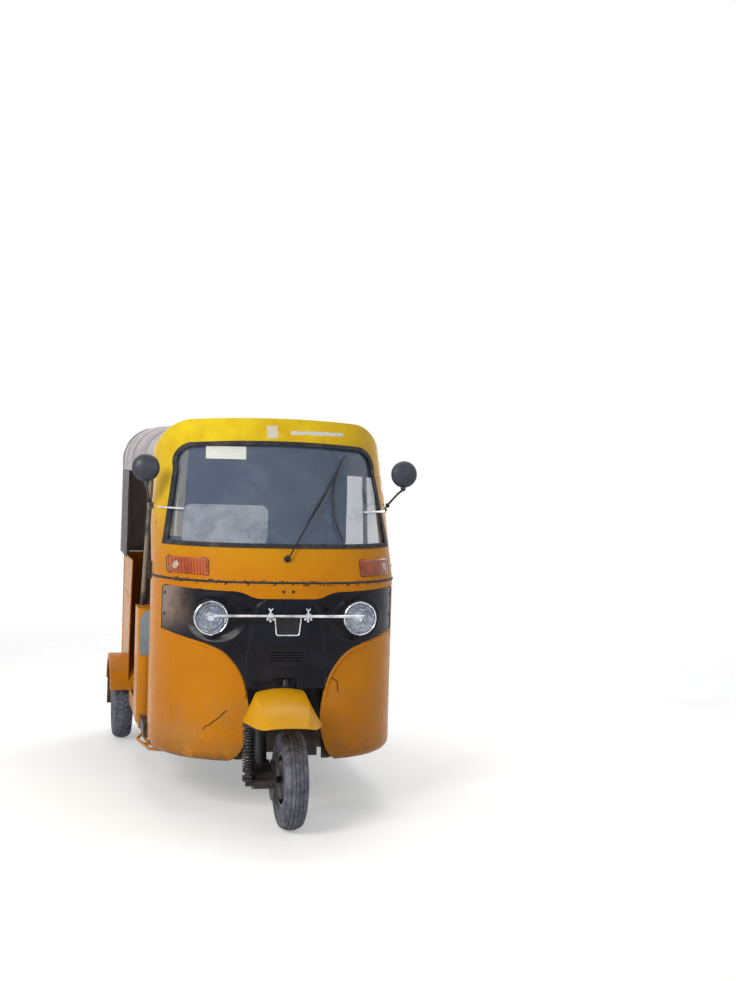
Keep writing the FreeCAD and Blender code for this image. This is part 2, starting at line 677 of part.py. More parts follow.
def handlebar():
    """Bar across the column's top, raised and swept back to the grips."""
    root = back(steer_back(HANDLEBAR_Z))
    middle_z, grip_z = HANDLEBAR_Z + 12, HANDLEBAR_Z + 58
    half = [(0, root, middle_z), (70, root, middle_z), (140, root + 71.6, grip_z), GRIP_END]
    points = [(-x, y, z) for x, y, z in reversed(half[1:])] + half[1:]
    stem = steering_rod(COLUMN_TOP_Z + FIT_GAP, COLUMN_TOP_Z + 30, COLUMN_RADIUS + 7)
    return fuse([bar(points, 11, 30), stem])


def handle_grips():
    start, end = V(*GRIP_START), V(*GRIP_END)
    sleeve = Part.makeCylinder(17, (end - start).Length, start, end - start)
    bore = Part.makeCylinder(11.3, (end - start).Length + 60, start - (end - start) * 0.2, end - start)
    return both_sides(sleeve.cut(bore))


def tyre(x, distance):
    half = TYRE_WIDTH / 2
    bead = RIM_WIDTH / 2 - RIM_WALL - FIT_GAP
    profile = [
        (-bead, TYRE_BEAD_RADIUS),
        (-bead, RIM_FLANGE_RADIUS + 2),
        (-half, 160),
        (-half * 0.86, 190),
        (0, TYRE_RADIUS, "via"),
        (half * 0.86, 190),
        (half, 160),
        (bead, RIM_FLANGE_RADIUS + 2),
        (bead, TYRE_BEAD_RADIUS),
    ]
    return revolve_x(profile, (x, back(distance), AXLE_Z))


def rim(x, distance, side):
    """Pressed wheel: bead seats, flanges, dished disc and drum on its hub; side points outwards."""
    half = RIM_WIDTH / 2
    seat = TYRE_BEAD_RADIUS - FIT_GAP
    well = [
        (-half, seat - RIM_WALL), (-half, RIM_FLANGE_RADIUS), (-half + RIM_WALL, RIM_FLANGE_RADIUS),
        (-half + RIM_WALL, seat), (half - RIM_WALL, seat), (half - RIM_WALL, RIM_FLANGE_RADIUS),
        (half, RIM_FLANGE_RADIUS), (half, seat - RIM_WALL),
    ]
    centre = (x, back(distance), AXLE_Z)
    barrel = revolve_x(well, centre)
    face = side * 12
    dish, back_face, drum_end = face + side * 14, face - side * 5, -side * 40
    disc = [
        (face, HUB_BORE_RADIUS), (dish, HUB_BORE_RADIUS), (dish, 46), (face, 62),
        (face, seat - RIM_WALL), (back_face, seat - RIM_WALL), (back_face, HUB_BORE_RADIUS),
    ]
    hub = [
        (back_face, HUB_BORE_RADIUS), (back_face, DRUM_RADIUS - 6),
        (drum_end, DRUM_RADIUS - 6), (drum_end, HUB_BORE_RADIUS),
    ]
    wheel = fuse([barrel, revolve_x(disc, centre), revolve_x(hub, centre)])
    for number in range(4):
        angle = math.radians(45 + 90 * number)
        stud = V(centre[0] + face, centre[1] + 54 * math.cos(angle), centre[2] + 54 * math.sin(angle))
        wheel = wheel.fuse(Part.makeCylinder(9, 12, stud, V(side, 0, 0)))
    return wheel


# Body

def floor_pan():
    """Floor with folded sills and the foot well's sloped front."""
    low, high = FLOOR_Z, FLOOR_Z + FLOOR_WALL
    rear_start = back(COWL_REAR_BACK + TOUCH_GAP)
    deck = box(-SILL_HALF, SILL_HALF, rear_start, back(QUARTER_FRONT_BACK - TOUCH_GAP), low, high)
    toe = box(-SILL_HALF, SILL_HALF, back(WELL_REAR_BACK) + FIT_GAP, rear_start, low, high)
    toe = toe.common(skin_block(COWL_WALL + 8, COWL_REAR_BACK + 50, low, high))
    deck = deck.fuse(toe)
    inner, top = SILL_HALF - 22, low + SILL_HEIGHT
    sill = box(inner, SILL_HALF, rear_start, back(DOOR_REAR_BACK), low, top)
    rear_sill = box(inner, SILL_HALF, back(PARTITION_BACK + 30), back(PASSENGER_BASE_BACK - 20), low, top)
    return fuse([deck, sill, mirrored(sill), rear_sill, mirrored(rear_sill)])


def dashboard():
    """Shelf across the cowl with a raised instrument pod behind the screen's foot."""
    front = back(LAMP_FACE_BACK + LAMP_DEPTH + 10)
    profile = [
        (front, 905), (front, 925), (back(450), 945), (back(485), 880),
        (back(485), 780), (back(475), 780), (back(450), 890),
    ]
    shelf = prism(profile, "x", -BODY_HALF_WIDTH + 40, BODY_HALF_WIDTH - 40)
    inside = skin_block(COWL_WALL + FIT_GAP, COWL_REAR_BACK, 700, SEAM_Z)
    shelf = shelf.common(inside).cut(steering_rod(600, 1100, HEAD_RADIUS + 20))
    return shelf


def chassis():
    """Two long rails under the floor that step up beside the engine, with cross-members."""
    inner, outer = RAIL_INNER, RAIL_OUTER
    low, top = FLOOR_Z - 60, REAR_RAIL_Z + RAIL_HEIGHT
    step_start, step_end = back(QUARTER_FRONT_BACK), back(QUARTER_FRONT_BACK + 40)
    under = box(inner, outer, back(WELL_REAR_BACK + 15), step_end, low, FLOOR_Z - FIT_GAP)
    riser = box(inner, outer, step_start, step_end, low, top)
    rear = box(inner, outer, step_start, back(REAR_FACE_BACK - 14), REAR_RAIL_Z, top)
    rail = under.fuse([riser, rear])
    stations = (WELL_REAR_BACK + 75, PARTITION_BACK - 60, PASSENGER_BASE_BACK - 50, QUARTER_FRONT_BACK - 5)
    cross = [box(-inner - 5, inner + 5, back(d), back(d + RAIL_HEIGHT), low + 5, FLOOR_Z - 5) for d in stations]
    return fuse([rail, mirrored(rail)] + cross)


def driver_seat_box():
    front, rear = back(PARTITION_BACK - 230), back(PARTITION_BACK) - FIT_GAP
    half, wall = SEAT_BOX_HALF, PANEL_WALL
    outer = box(-half, half, front, rear, FLOOR_Z + FLOOR_WALL + FIT_GAP, DRIVER_SEAT_Z)
    inner = box(wall - half, half - wall, front + wall, rear - wall, 0, DRIVER_SEAT_Z - wall)
    return outer.cut(inner)


def partition():
    """Full-width panel behind the driver with side panels folded forward to the doorways."""
    base = FLOOR_Z + FLOOR_WALL + FIT_GAP
    wall_y = back(PARTITION_BACK)
    wall = box(-SIDE_PANEL_OUTER, SIDE_PANEL_OUTER, wall_y, wall_y + PANEL_WALL, base, SIDE_PANEL_TOP_Z)
    front = DOOR_REAR_BACK
    plan = [
        (SIDE_PANEL_INNER, back(front)), (SIDE_PANEL_OUTER - 40, back(front)),
        (SIDE_PANEL_OUTER - 12, back(front + 12), "via"), (SIDE_PANEL_OUTER, back(front + 40)),
        (SIDE_PANEL_OUTER, back(PARTITION_BACK)), (SIDE_PANEL_INNER, back(PARTITION_BACK)),
    ]
    side = prism(plan, "z", base, SIDE_PANEL_TOP_Z)
    hollow = prism(plan, "z", base - 1, SIDE_PANEL_TOP_Z - PANEL_WALL, grow=-PANEL_WALL)
    side = side.cut(hollow)
    return fuse([wall, side, mirrored(side)])


def side_plates():
    """Pale plates on the side panels' front faces, with a sloped outer top corner."""
    y = back(DOOR_REAR_BACK) - FIT_GAP
    inner, outer, top = SIDE_PANEL_INNER + 4, SIDE_PANEL_OUTER - 42, SIDE_PANEL_TOP_Z - 3
    shape = [(inner, 600), (outer, 600), (outer, top - 22), (outer - 18, top), (inner, top)]
    return both_sides(prism(shape, "y", y - 3, y))


def cushion(x_half, y0, y1, z0, z1, soft):
    block = box(-x_half, x_half, y0, y1, z0, z1)
    return block.makeFillet(soft, block.Edges)


def driver_cushion():
    front, rear = back(PARTITION_BACK - 240), back(PARTITION_BACK - 12)
    return cushion(SEAT_BOX_HALF - 10, front, rear, DRIVER_SEAT_Z + FIT_GAP, DRIVER_SEAT_Z + CUSHION_HEIGHT, 22)


def driver_backrest():
    front, rear = back(PARTITION_BACK - 62), back(PARTITION_BACK) - FIT_GAP
    return cushion(SEAT_BOX_HALF - 45, front, rear, SIDE_PANEL_TOP_Z - 130, SIDE_PANEL_TOP_Z + 150, 22)


def passenger_base():
    base = FLOOR_Z + FLOOR_WALL + FIT_GAP
    half, front = SILL_HALF - 40, back(PASSENGER_BASE_BACK)
    riser = box(-half, half, front, front + PANEL_WALL, base, PASSENGER_SEAT_Z)
    top = box(-half, half, front, back(BACKREST_BACK + 100), PASSENGER_SEAT_Z - PANEL_WALL, PASSENGER_SEAT_Z)
    return fuse([riser, top])


def passenger_cushion():
    front, rear = back(PASSENGER_BASE_BACK - 12), back(BACKREST_BACK - 8)
    top = PASSENGER_SEAT_Z + CUSHION_HEIGHT
    return cushion(SILL_HALF - 60, front, rear, PASSENGER_SEAT_Z + FIT_GAP, top, 26)


def passenger_backrest():
    front, rear = back(BACKREST_BACK), back(BACKREST_BACK + 85)
    return cushion(SILL_HALF - 60, front, rear, PASSENGER_SEAT_Z + FIT_GAP, PASSENGER_SEAT_Z + 500, 26)


def axle_disc(low, high, radius):
    """Cylinder about the rear axle's line between two places along X."""
    return rod((low, back(WHEELBASE), AXLE_Z), (high, back(WHEELBASE), AXLE_Z), radius)


def rear_quarter():
    """Left side of the rear body: an upper panel over the wheel and the fender that bulges out round it."""
    side = [
        (back(QUARTER_FRONT_BACK), FLOOR_Z),
        (back(REAR_FACE_BACK), FLOOR_Z), (back(REAR_FACE_BACK), QUARTER_TOP_Z),
        (back(QUARTER_FRONT_BACK - 150), QUARTER_TOP_Z), (back(QUARTER_FRONT_BACK - 60), 700, "via"),
    ]
    panel = prism(side, "x", REAR_HALF - PANEL_WALL, REAR_HALF)
    lip_wall = 6
    arch = axle_disc(0, FENDER_HALF + lip_wall, ARCH_RADIUS)
    beyond_lip = box(FENDER_HALF - lip_wall, BEYOND, -BEYOND, BEYOND, 0, BEYOND)
    below = box(0, BEYOND, -BEYOND, BEYOND, -BEYOND, FLOOR_Z + 30)
    shell = axle_disc(REAR_HALF - PANEL_WALL, FENDER_HALF, ARCH_RADIUS + PANEL_WALL)
    lip = axle_disc(FENDER_HALF - lip_wall, FENDER_HALF, ARCH_RADIUS - 25)
    fender = shell.cut(arch.cut(beyond_lip)).cut(lip).cut(below)
    tub = axle_disc(REAR_HALF - 75, REAR_HALF - PANEL_WALL, ARCH_RADIUS + PANEL_WALL).cut(arch).cut(below)
    return fuse([panel.cut(arch), fender, tub])


def rear_panel():
    """Back wall above the lid, with side returns beside it and two holes for a plate."""
    low, high = FLOOR_Z + 30, REAR_PANEL_TOP_Z
    half = REAR_HALF - PANEL_WALL - FIT_GAP
    face = box(-half, half, back(REAR_FACE_BACK - 6), back(REAR_FACE_BACK), low, high)
    hole_half, front, rear = LID_HALF + LID_GAP, back(REAR_FACE_BACK - 10), back(REAR_FACE_BACK + 10)
    face = face.cut(box(-hole_half, hole_half, front, rear, LID_BOTTOM_Z - LID_GAP, LID_TOP_Z + LID_GAP))
    for x in (-PLATE_HOLE_SPACING / 2, PLATE_HOLE_SPACING / 2):
        face = face.cut(rod((x, front, PLATE_Z), (x, rear, PLATE_Z), PLATE_HOLE_RADIUS))
    return face


def lid_axis():
    """Y and z of the lid's hinge pin."""
    return back(REAR_FACE_BACK + LID_HINGE_STANDOFF), LID_TOP_Z + 3


def knuckle(x0, x1, radius):
    y, z = lid_axis()
    return rod((x0, y, z), (x1, y, z), radius)


def engine_lid():
    """Louvred lid hung from two hinge knuckles on its top edge."""
    low, high = back(REAR_FACE_BACK - LID_WALL), back(REAR_FACE_BACK)
    lid = box(-LID_HALF, LID_HALF, low, high, LID_BOTTOM_Z, LID_TOP_Z)
    for row in range(5):
        z = LID_BOTTOM_Z + 70 + row * 28
        for x0 in (-300, 60):
            lid = lid.cut(box(x0, x0 + 240, low - 1, high + 1, z, z + 8))
    y, z = lid_axis()
    for x in (-HINGE_X, HINGE_X):
        arm = box(x - 17, x + 17, high, y, LID_TOP_Z - 30, LID_TOP_Z)
        lid = lid.fuse([knuckle(x - 17, x + 17, KNUCKLE_RADIUS), arm])
        lid = lid.cut(knuckle(x - 20, x + 20, LID_PIN_RADIUS + FIT_GAP))
    return lid.removeSplitter()


def lid_hinges():
    """The fixed knuckles on the rear panel, with the pins."""
    y, z = lid_axis()
    hinges = []
    for x in (-HINGE_X, HINGE_X):
        pieces = [knuckle(x - 36, x + 36, LID_PIN_RADIUS)]
        for x0, x1 in ((x - 36, x - 18), (x + 18, x + 36)):
            pieces.append(knuckle(x0, x1, KNUCKLE_RADIUS))
            pieces.append(box(x0, x1, back(REAR_FACE_BACK) + FIT_GAP, y, z, z + 32))
        hinges.append(fuse(pieces))
    return Part.makeCompound(hinges)


def tail_lamps():
    seat = back(REAR_FACE_BACK)
    lamp = box(REAR_HALF - 110, REAR_HALF - 30, seat + FIT_GAP, seat + 22, 640, 790)
    lamp = lamp.makeFillet(8, lamp.Edges)
    return both_sides(lamp)


def rear_bumper():
    """Tube bumper on two stays, with a tow eye on its centre."""
    y = back(OVERALL_LENGTH - FRONT_OVERHANG - BUMPER_RADIUS)
    bend, end = REAR_HALF - 120, REAR_HALF - 40
    points = [(-end, y - 60, BUMPER_Z), (-bend, y, BUMPER_Z), (bend, y, BUMPER_Z), (end, y - 60, BUMPER_Z)]
    stays = []
    rail_x = (RAIL_INNER + RAIL_OUTER) / 2
    front, rear = back(REAR_FACE_BACK - 85), back(REAR_FACE_BACK - 30)
    for x in (-rail_x, rail_x):
        stays.append(rod((x, front, BUMPER_Z), (x, y, BUMPER_Z), 12))
        stays.append(box(x - 10, x + 10, front, rear, BUMPER_Z - 10, REAR_RAIL_Z - FIT_GAP))
    half, eye_y, eye_z = TOW_EYE_WIDTH / 2, y - 14, BUMPER_Z - 42
    eye = rod((-half, eye_y, eye_z), (half, eye_y, eye_z), 30)
    neck = box(-half, half, eye_y - 20, eye_y + 20, eye_z, BUMPER_Z)
    hole = rod((-half - 1, eye_y, eye_z), (half + 1, eye_y, eye_z), TOW_EYE_RADIUS)
    return fuse([bar(points, BUMPER_RADIUS, 60), eye, neck] + stays).cut(hole)


def engine():
    """One block of the engine with its gearbox, behind and under the passenger seat."""
    block = box(-ENGINE_HALF, ENGINE_HALF, back(WHEELBASE - 70), back(REAR_FACE_BACK - 45), 230, 530)
    return block.makeFillet(18, block.Edges)


def exhaust():
    """Silencer beside the engine, with its header and tail pipe."""
    x, z = SILENCER_X, SILENCER_Z
    rear = back(REAR_FACE_BACK - 60)
    header_y = rear - 125
    body = rod((x, rear - 210, z), (x, rear, z), 44)
    header = rod((ENGINE_HALF + FIT_GAP, header_y, z + 6), (x, header_y, z + 6), 14)
    pipe = rod((x, rear - 5, z - 28), (x, rear + 70, z - 28), 11)
    return fuse([body, header, pipe])


def rear_suspension():
    """Left trailing arm with its pivot, the brake plate and the stub axle."""
    wheel_x = REAR_TRACK / 2
    inner = wheel_x - ARM_INSET
    stub = axle_disc(inner - STUB_REACH, wheel_x + 30, HUB_BORE_RADIUS - 0.5)
    plate = axle_disc(inner, inner + 10, DRUM_RADIUS)
    hub = axle_disc(inner - 34, inner, 34)
    pivot_y, pivot_z = back(ARM_PIVOT_BACK), FLOOR_Z - 34
    bend = (inner - 40, back(WHEELBASE - 140), AXLE_Z + 5)
    arm = bar([(inner - 17, back(WHEELBASE), AXLE_Z), bend, (RAIL_OUTER + 95, pivot_y, pivot_z)], 20, 60)
    pivot = rod((RAIL_OUTER + FIT_GAP, pivot_y, pivot_z), (RAIL_OUTER + 125, pivot_y, pivot_z), 26)
    return fuse([stub, plate, hub, arm, pivot])


def drive_shaft():
    """Left drive shaft between its two joint housings."""
    engine_x, engine_y, engine_z = ENGINE_HALF + FIT_GAP, back(WHEELBASE + 40), AXLE_Z + 55
    wheel_x, wheel_y = REAR_TRACK / 2 - ARM_INSET - STUB_REACH - FIT_GAP, back(WHEELBASE)
    housing = 34
    inner = rod((engine_x, engine_y, engine_z), (engine_x + housing, engine_y, engine_z), 30)
    outer = rod((wheel_x - housing, wheel_y, AXLE_Z), (wheel_x, wheel_y, AXLE_Z), 28)
    shaft = rod((engine_x + housing / 2, engine_y, engine_z), (wheel_x - housing / 2, wheel_y, AXLE_Z), 12)
    return fuse([inner, outer, shaft])


# Hood

# Hood stations: distance back, half-width, top z
HOOD_STATIONS = [
    (560, BODY_HALF_WIDTH - 42, HOOD_TOP_Z - 4), (HOOD_WIDE_BACK, HOOD_HALF, HOOD_TOP_Z),
    (REAR_FACE_BACK, HOOD_HALF, HOOD_TOP_Z),
]


def arch_wire(distance, half, top):
    """Cross-section of the hood with round shoulders and a slightly crowned top."""
    foot = REAR_PANEL_TOP_Z - 20
    shoulder = 190
    right = [
        (half, foot), (half, top - shoulder - 30),
        (half - 48, top - 78, "via"), (half - shoulder, top - 22),
    ]
    left = [(-p[0],) + tuple(p[1:]) for p in reversed(right)]
    return outline(right + [(0, top, "via")] + left, lambda x, z: V(x, back(distance), z))


def hood_block(inset):
    """The whole volume under the hood, moved inwards by inset."""
    blocks = []
    for first, second in zip(HOOD_STATIONS, HOOD_STATIONS[1:]):
        wires = [arch_wire(d, half - inset, top - inset) for d, half, top in (first, second)]
        blocks.append(Part.makeLoft(wires, True, True))
    return blocks[0].fuse(blocks[1]).common(prism(hood_side_view(inset), "x", -BEYOND, BEYOND))


def hood_side_view(inset):
    """Side view of the hood: flat top that turns down into the leaning back."""
    rear = REAR_FACE_BACK - 12 - inset
    top = HOOD_TOP_Z + 10 - inset
    front = back(HOOD_STATIONS[0][0] + 1)
    return [
        (front, REAR_PANEL_TOP_Z - 15), (back(rear), REAR_PANEL_TOP_Z - 15), (back(rear - 60), 1480),
        (back(HOOD_REAR_TOP_BACK - 20 - inset), top - 60, "via"),
        (back(HOOD_REAR_TOP_BACK - 200), top), (front, top),
    ]


def hood_front_cutter():
    """Everything in front of the screen frame's rear edge, leaning back like the frame."""
    lean = (SCREEN_TOP_Z - SEAM_Z) * TAN_SCREEN
    centre = NOSE_BACK + FRAME_DEPTH + TOUCH_GAP
    side = skin_back(BODY_HALF_WIDTH - 45, SEAM_Z) + FRAME_DEPTH + 70
    corner, outside, ahead = BODY_HALF_WIDTH - 20, BODY_HALF_WIDTH + 160, back(-400)
    plan = [
        (-corner, back(side)), (0, back(centre), "via"), (corner, back(side)), (outside, back(side + 60)),
        (outside, ahead), (-outside, ahead), (-outside, back(side + 60)),
    ]
    wire = outline(plan, lambda x, y: V(x, y, SEAM_Z))
    height = SCREEN_TOP_Z + 50 - SEAM_Z
    return Part.Face(wire).extrude(V(0, height * TAN_SCREEN, height))


def hood_canopy():
    shell = hood_block(0).cut(hood_block(HOOD_WALL))
    side_opening = box(-BEYOND, BEYOND, -BEYOND, back(QUARTER_FRONT_BACK - 60), 0, HOOD_SIDE_Z)
    below = box(-BEYOND, BEYOND, -BEYOND, BEYOND, 0, QUARTER_TOP_Z + FIT_GAP)
    shell = shell.cut(side_opening).cut(below).cut(hood_front_cutter()).cut(screen_envelope())
    return largest(shell.cut(rear_window_prism(0)))


def rear_window_prism(inset):
    half, low, high = WINDOW_HALF - inset, WINDOW_BOTTOM_Z + inset, WINDOW_TOP_Z - inset
    block = box(-half, half, back(WHEELBASE - 100), back(REAR_FACE_BACK + 65), low, high)
    long_edges = [e for e in block.Edges if e.Length > 450 and abs(e.tangentAt(0).y) > 0.9]
    return block.makeFillet(WINDOW_ROUND - inset, long_edges)


def rear_window():
    outer = prism(hood_side_view(2), "x", -BEYOND, BEYOND)
    inner = prism(hood_side_view(HOOD_WALL - 3), "x", -BEYOND, BEYOND)
    rear = box(-BEYOND, BEYOND, back(WHEELBASE + 100), BEYOND, 0, BEYOND)
    return outer.cut(inner).common(rear_window_prism(FIT_GAP)).common(rear)


def hood_half_at(distance):
    """Half-width and top of the hood at this place."""
    (d0, half0, top0), (d1, half1, top1) = HOOD_STATIONS[0], HOOD_STATIONS[1]
    share = min((distance - d0) / (d1 - d0), 1)
    return half0 + (half1 - half0) * share, top0 + (top1 - top0) * share


def hood_frame():
    """Hoops over the cabin, side rails and the posts that carry them."""
    inset = HOOD_WALL + RAIL_RADIUS + 1
    rail_z = HOOD_SIDE_Z + 18
    pieces = []
    for distance in HOOP_BACKS:
        outer_half, outer_top = hood_half_at(distance)
        half, top = outer_half - inset, outer_top - inset - 4
        foot = QUARTER_TOP_Z + FIT_GAP if distance > QUARTER_FRONT_BACK else rail_z
        y = back(distance)
        points = [(half, y, foot), (half, y, top - 160), (half - 80, y, top - 50)]
        points += [(half - 220, y, top - 14), (0, y, top)]
        points += [(-x, y, z) for x, y, z in reversed(points[:-1])]
        pieces.append(bar(points, HOOP_RADIUS, 90))
    for side in (-1, 1):
        stations = (RAIL_FRONT_BACK, HOOD_WIDE_BACK, HOOP_BACKS[-1])
        rail = [(side * (hood_half_at(d)[0] - inset), back(d), rail_z) for d in stations]
        pieces.append(bar(rail, RAIL_RADIUS, 400))
        post_back = PARTITION_BACK - 20
        foot = (side * (SIDE_PANEL_OUTER - 30), back(post_back), SIDE_PANEL_TOP_Z + 3 * FIT_GAP)
        head = (side * (hood_half_at(post_back)[0] - inset), back(post_back), rail_z)
        pieces.append(rod(foot, head, HOOP_RADIUS))
    return fuse(pieces).cut(screen_envelope())


def seam_brackets():
    """Dark hinge blocks at the seam on each side."""
    inner, front, rear = BODY_HALF_WIDTH + FIT_GAP, back(COWL_REAR_BACK - 50), back(COWL_REAR_BACK - 15)
    return both_sides(box(inner, inner + 12, front, rear, SEAM_Z - 20, SEAM_Z + 55))


def foot_steps():
    """Bent step of two bars below each doorway, welded under the floor at both ends."""
    seat_z = FLOOR_Z - STEP_RADIUS - FIT_GAP
    bars = []
    for shift in (0, STEP_PITCH):
        outer = SILL_HALF - shift
        points = [
            (outer - 60, back(DOOR_REAR_BACK + 16), seat_z), (outer - 30, back(DOOR_REAR_BACK), seat_z),
            (outer + 15, back(DOOR_REAR_BACK - 40), STEP_Z), (outer - 25, back(585), STEP_Z),
            (outer - 105, back(548), STEP_Z), (outer - 150, back(524), seat_z), (outer - 190, back(506), seat_z),
        ]
        bars.append(bar(points, STEP_RADIUS, 18))
    tie = rod((SILL_HALF - 45, back(700), STEP_Z), (SILL_HALF - 8, back(700), STEP_Z), STEP_RADIUS)
    return both_sides(fuse(bars + [tie]))


def main():
    os.makedirs("parts", exist_ok=True)
    rims_and_lenses = [headlamp(side) for side in (-1, 1)]
    rear_x = REAR_TRACK / 2
    shapes = {
        "front_cowl": front_cowl(),
        "front_fascia": front_fascia(),
        "headlamp_bowls": Part.makeCompound([pair[0] for pair in rims_and_lenses]),
        "headlamp_lenses": Part.makeCompound([pair[1] for pair in rims_and_lenses]),
        "lamp_bar": lamp_bar(),
        "emblem_frame": emblem_frame(),
        "front_indicators": front_indicators(),
        "screen_frame": screen_frame(),
        "screen_seal": screen_seal(),
        "windscreen": windscreen(),
        "wiper": wiper(),
        "mirrors": mirrors(),
        "mirror_glass": mirror_glass(),
        "wheel_arch": wheel_arch(),
        "steering_head": steering_head(),
        "steering_fork": steering_fork(),
        "front_link": front_link(),
        "front_spring": front_spring(),
        "front_damper": front_damper(),
        "front_mudguard": front_mudguard(),
        "handlebar": handlebar(),
        "handle_grips": handle_grips(),
        "front_tyre": tyre(0, 0),
        "front_rim": rim(0, 0, 1),
        "rear_left_tyre": tyre(rear_x, WHEELBASE),
        "rear_left_rim": rim(rear_x, WHEELBASE, 1),
        "rear_right_tyre": tyre(-rear_x, WHEELBASE),
        "rear_right_rim": rim(-rear_x, WHEELBASE, -1),
        "floor_pan": floor_pan(),
        "dashboard": dashboard(),
        "chassis": chassis(),
        "driver_seat_box": driver_seat_box(),
        "partition": partition(),
        "side_plates": side_plates(),
        "driver_cushion": driver_cushion(),
        "driver_backrest": driver_backrest(),
        "passenger_base": passenger_base(),
        "passenger_cushion": passenger_cushion(),
        "passenger_backrest": passenger_backrest(),
        "rear_left_quarter": rear_quarter(),
        "rear_right_quarter": mirrored(rear_quarter()),
        "rear_panel": rear_panel(),
        "engine_lid": engine_lid(),
        "lid_hinges": lid_hinges(),
        "tail_lamps": tail_lamps(),
        "rear_bumper": rear_bumper(),
        "engine": engine(),
        "exhaust": exhaust(),
        "rear_arms": both_sides(rear_suspension()),
        "drive_shafts": both_sides(drive_shaft()),
        "hood_frame": hood_frame(),
        "hood_canopy": hood_canopy(),
        "rear_window": rear_window(),
        "seam_brackets": seam_brackets(),
        "foot_steps": foot_steps(),
    }
    for node, shape in shapes.items():
        shape.exportStep(f"parts/{node}.step")
        print(node, len(shape.Solids), shape.isValid(), round(shape.Volume / 1000))


main()
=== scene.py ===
import json
import math

import bmesh
import bpy
from mathutils import Matrix, Vector, geometry, noise


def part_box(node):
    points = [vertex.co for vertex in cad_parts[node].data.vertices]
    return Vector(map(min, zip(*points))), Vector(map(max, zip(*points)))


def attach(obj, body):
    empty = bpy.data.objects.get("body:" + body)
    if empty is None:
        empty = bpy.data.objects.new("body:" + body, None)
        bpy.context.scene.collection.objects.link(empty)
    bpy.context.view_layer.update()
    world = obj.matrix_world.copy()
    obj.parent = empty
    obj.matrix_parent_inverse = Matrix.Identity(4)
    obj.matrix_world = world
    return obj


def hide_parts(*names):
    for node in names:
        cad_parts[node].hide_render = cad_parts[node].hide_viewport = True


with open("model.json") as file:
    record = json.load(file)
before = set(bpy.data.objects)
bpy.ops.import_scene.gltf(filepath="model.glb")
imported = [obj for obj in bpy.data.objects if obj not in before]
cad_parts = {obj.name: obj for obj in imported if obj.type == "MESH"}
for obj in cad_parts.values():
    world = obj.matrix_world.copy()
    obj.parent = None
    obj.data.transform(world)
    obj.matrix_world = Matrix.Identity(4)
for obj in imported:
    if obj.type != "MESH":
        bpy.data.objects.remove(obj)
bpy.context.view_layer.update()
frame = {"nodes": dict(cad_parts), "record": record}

# Sizes from the CAD source, in metres; a place is given as its distance behind the front axle
FRONT_AXLE_Y = -1.055
WHEELBASE = 2.0
REAR_TRACK = 1.15
TYRE_RADIUS = 0.205
BODY_HALF = 0.54
NOSE_BACK = 0.15
NOSE_RADIUS = 1.0
CORNER_RADIUS = 0.4
CORNER_X = BODY_HALF - CORNER_RADIUS
CORNER_SINE = CORNER_X / (NOSE_RADIUS - CORNER_RADIUS)
CORNER_BACK = NOSE_BACK + NOSE_RADIUS - (NOSE_RADIUS - CORNER_RADIUS) * math.sqrt(1 - CORNER_SINE ** 2)
SEAM_Z = 1.0
TAN_SCREEN = math.tan(math.radians(29.7))
LAMP_X = 0.32
LAMP_Z = 0.85
LAMP_FACE_BACK = 0.19
HOOD_HALF = 0.585
HOOD_TOP = 1.702
HOOD_SIDE_Z = 1.45
HOOD_STATIONS = ((0.56, 0.498, 1.698), (1.6, HOOD_HALF, HOOD_TOP))
HOOP_BACKS = (0.96, 1.34, 1.72, 2.06)
QUARTER_TOP_Z = 0.985
REAR_FACE_BACK = 2.335
REAR_HALF = 0.56
SIDES = ((-1, "right"), (1, "left"))


def back(distance):
    return FRONT_AXLE_Y + distance


def skin_back(x, z):
    """Distance behind the front axle of the front skin's outer face."""
    x = abs(x)
    if x <= NOSE_RADIUS * CORNER_SINE:
        depth = NOSE_BACK + NOSE_RADIUS - math.sqrt(NOSE_RADIUS ** 2 - x ** 2)
    else:
        depth = CORNER_BACK - math.sqrt(max(CORNER_RADIUS ** 2 - (x - CORNER_X) ** 2, 0))
    return depth + max(z - SEAM_Z, 0) * TAN_SCREEN


def on_skin(x, z, proud=0.0):
    return Vector((x, back(skin_back(x, z) - proud), z))


def smooth_step(value, low, high):
    t = min(max((value - low) / (high - low), 0), 1)
    return t * t * (3 - 2 * t)


def arc(start, via, end, count):
    """Points on the circle through three points of a plane, from start to end."""
    ax, ay = start
    bx, by = via
    cx, cy = end
    d = 2 * (ax * (by - cy) + bx * (cy - ay) + cx * (ay - by))
    a, b, c = ax * ax + ay * ay, bx * bx + by * by, cx * cx + cy * cy
    ux = (a * (by - cy) + b * (cy - ay) + c * (ay - by)) / d
    uy = (a * (cx - bx) + b * (ax - cx) + c * (bx - ax)) / d
    radius = math.hypot(ax - ux, ay - uy)
    a0 = math.atan2(ay - uy, ax - ux)
    a1 = math.atan2(by - uy, bx - ux)
    a2 = math.atan2(cy - uy, cx - ux)
    turn = (a2 - a0) % (2 * math.pi)
    if (a1 - a0) % (2 * math.pi) > turn:
        turn -= 2 * math.pi
    angles = [a0 + turn * i / count for i in range(count + 1)]
    return [(ux + radius * math.cos(angle), uy + radius * math.sin(angle)) for angle in angles]


def steps(low, high, count):
    """Even steps from low to high, both included."""
    return [low + (high - low) * i / count for i in range(count + 1)]


# Materials

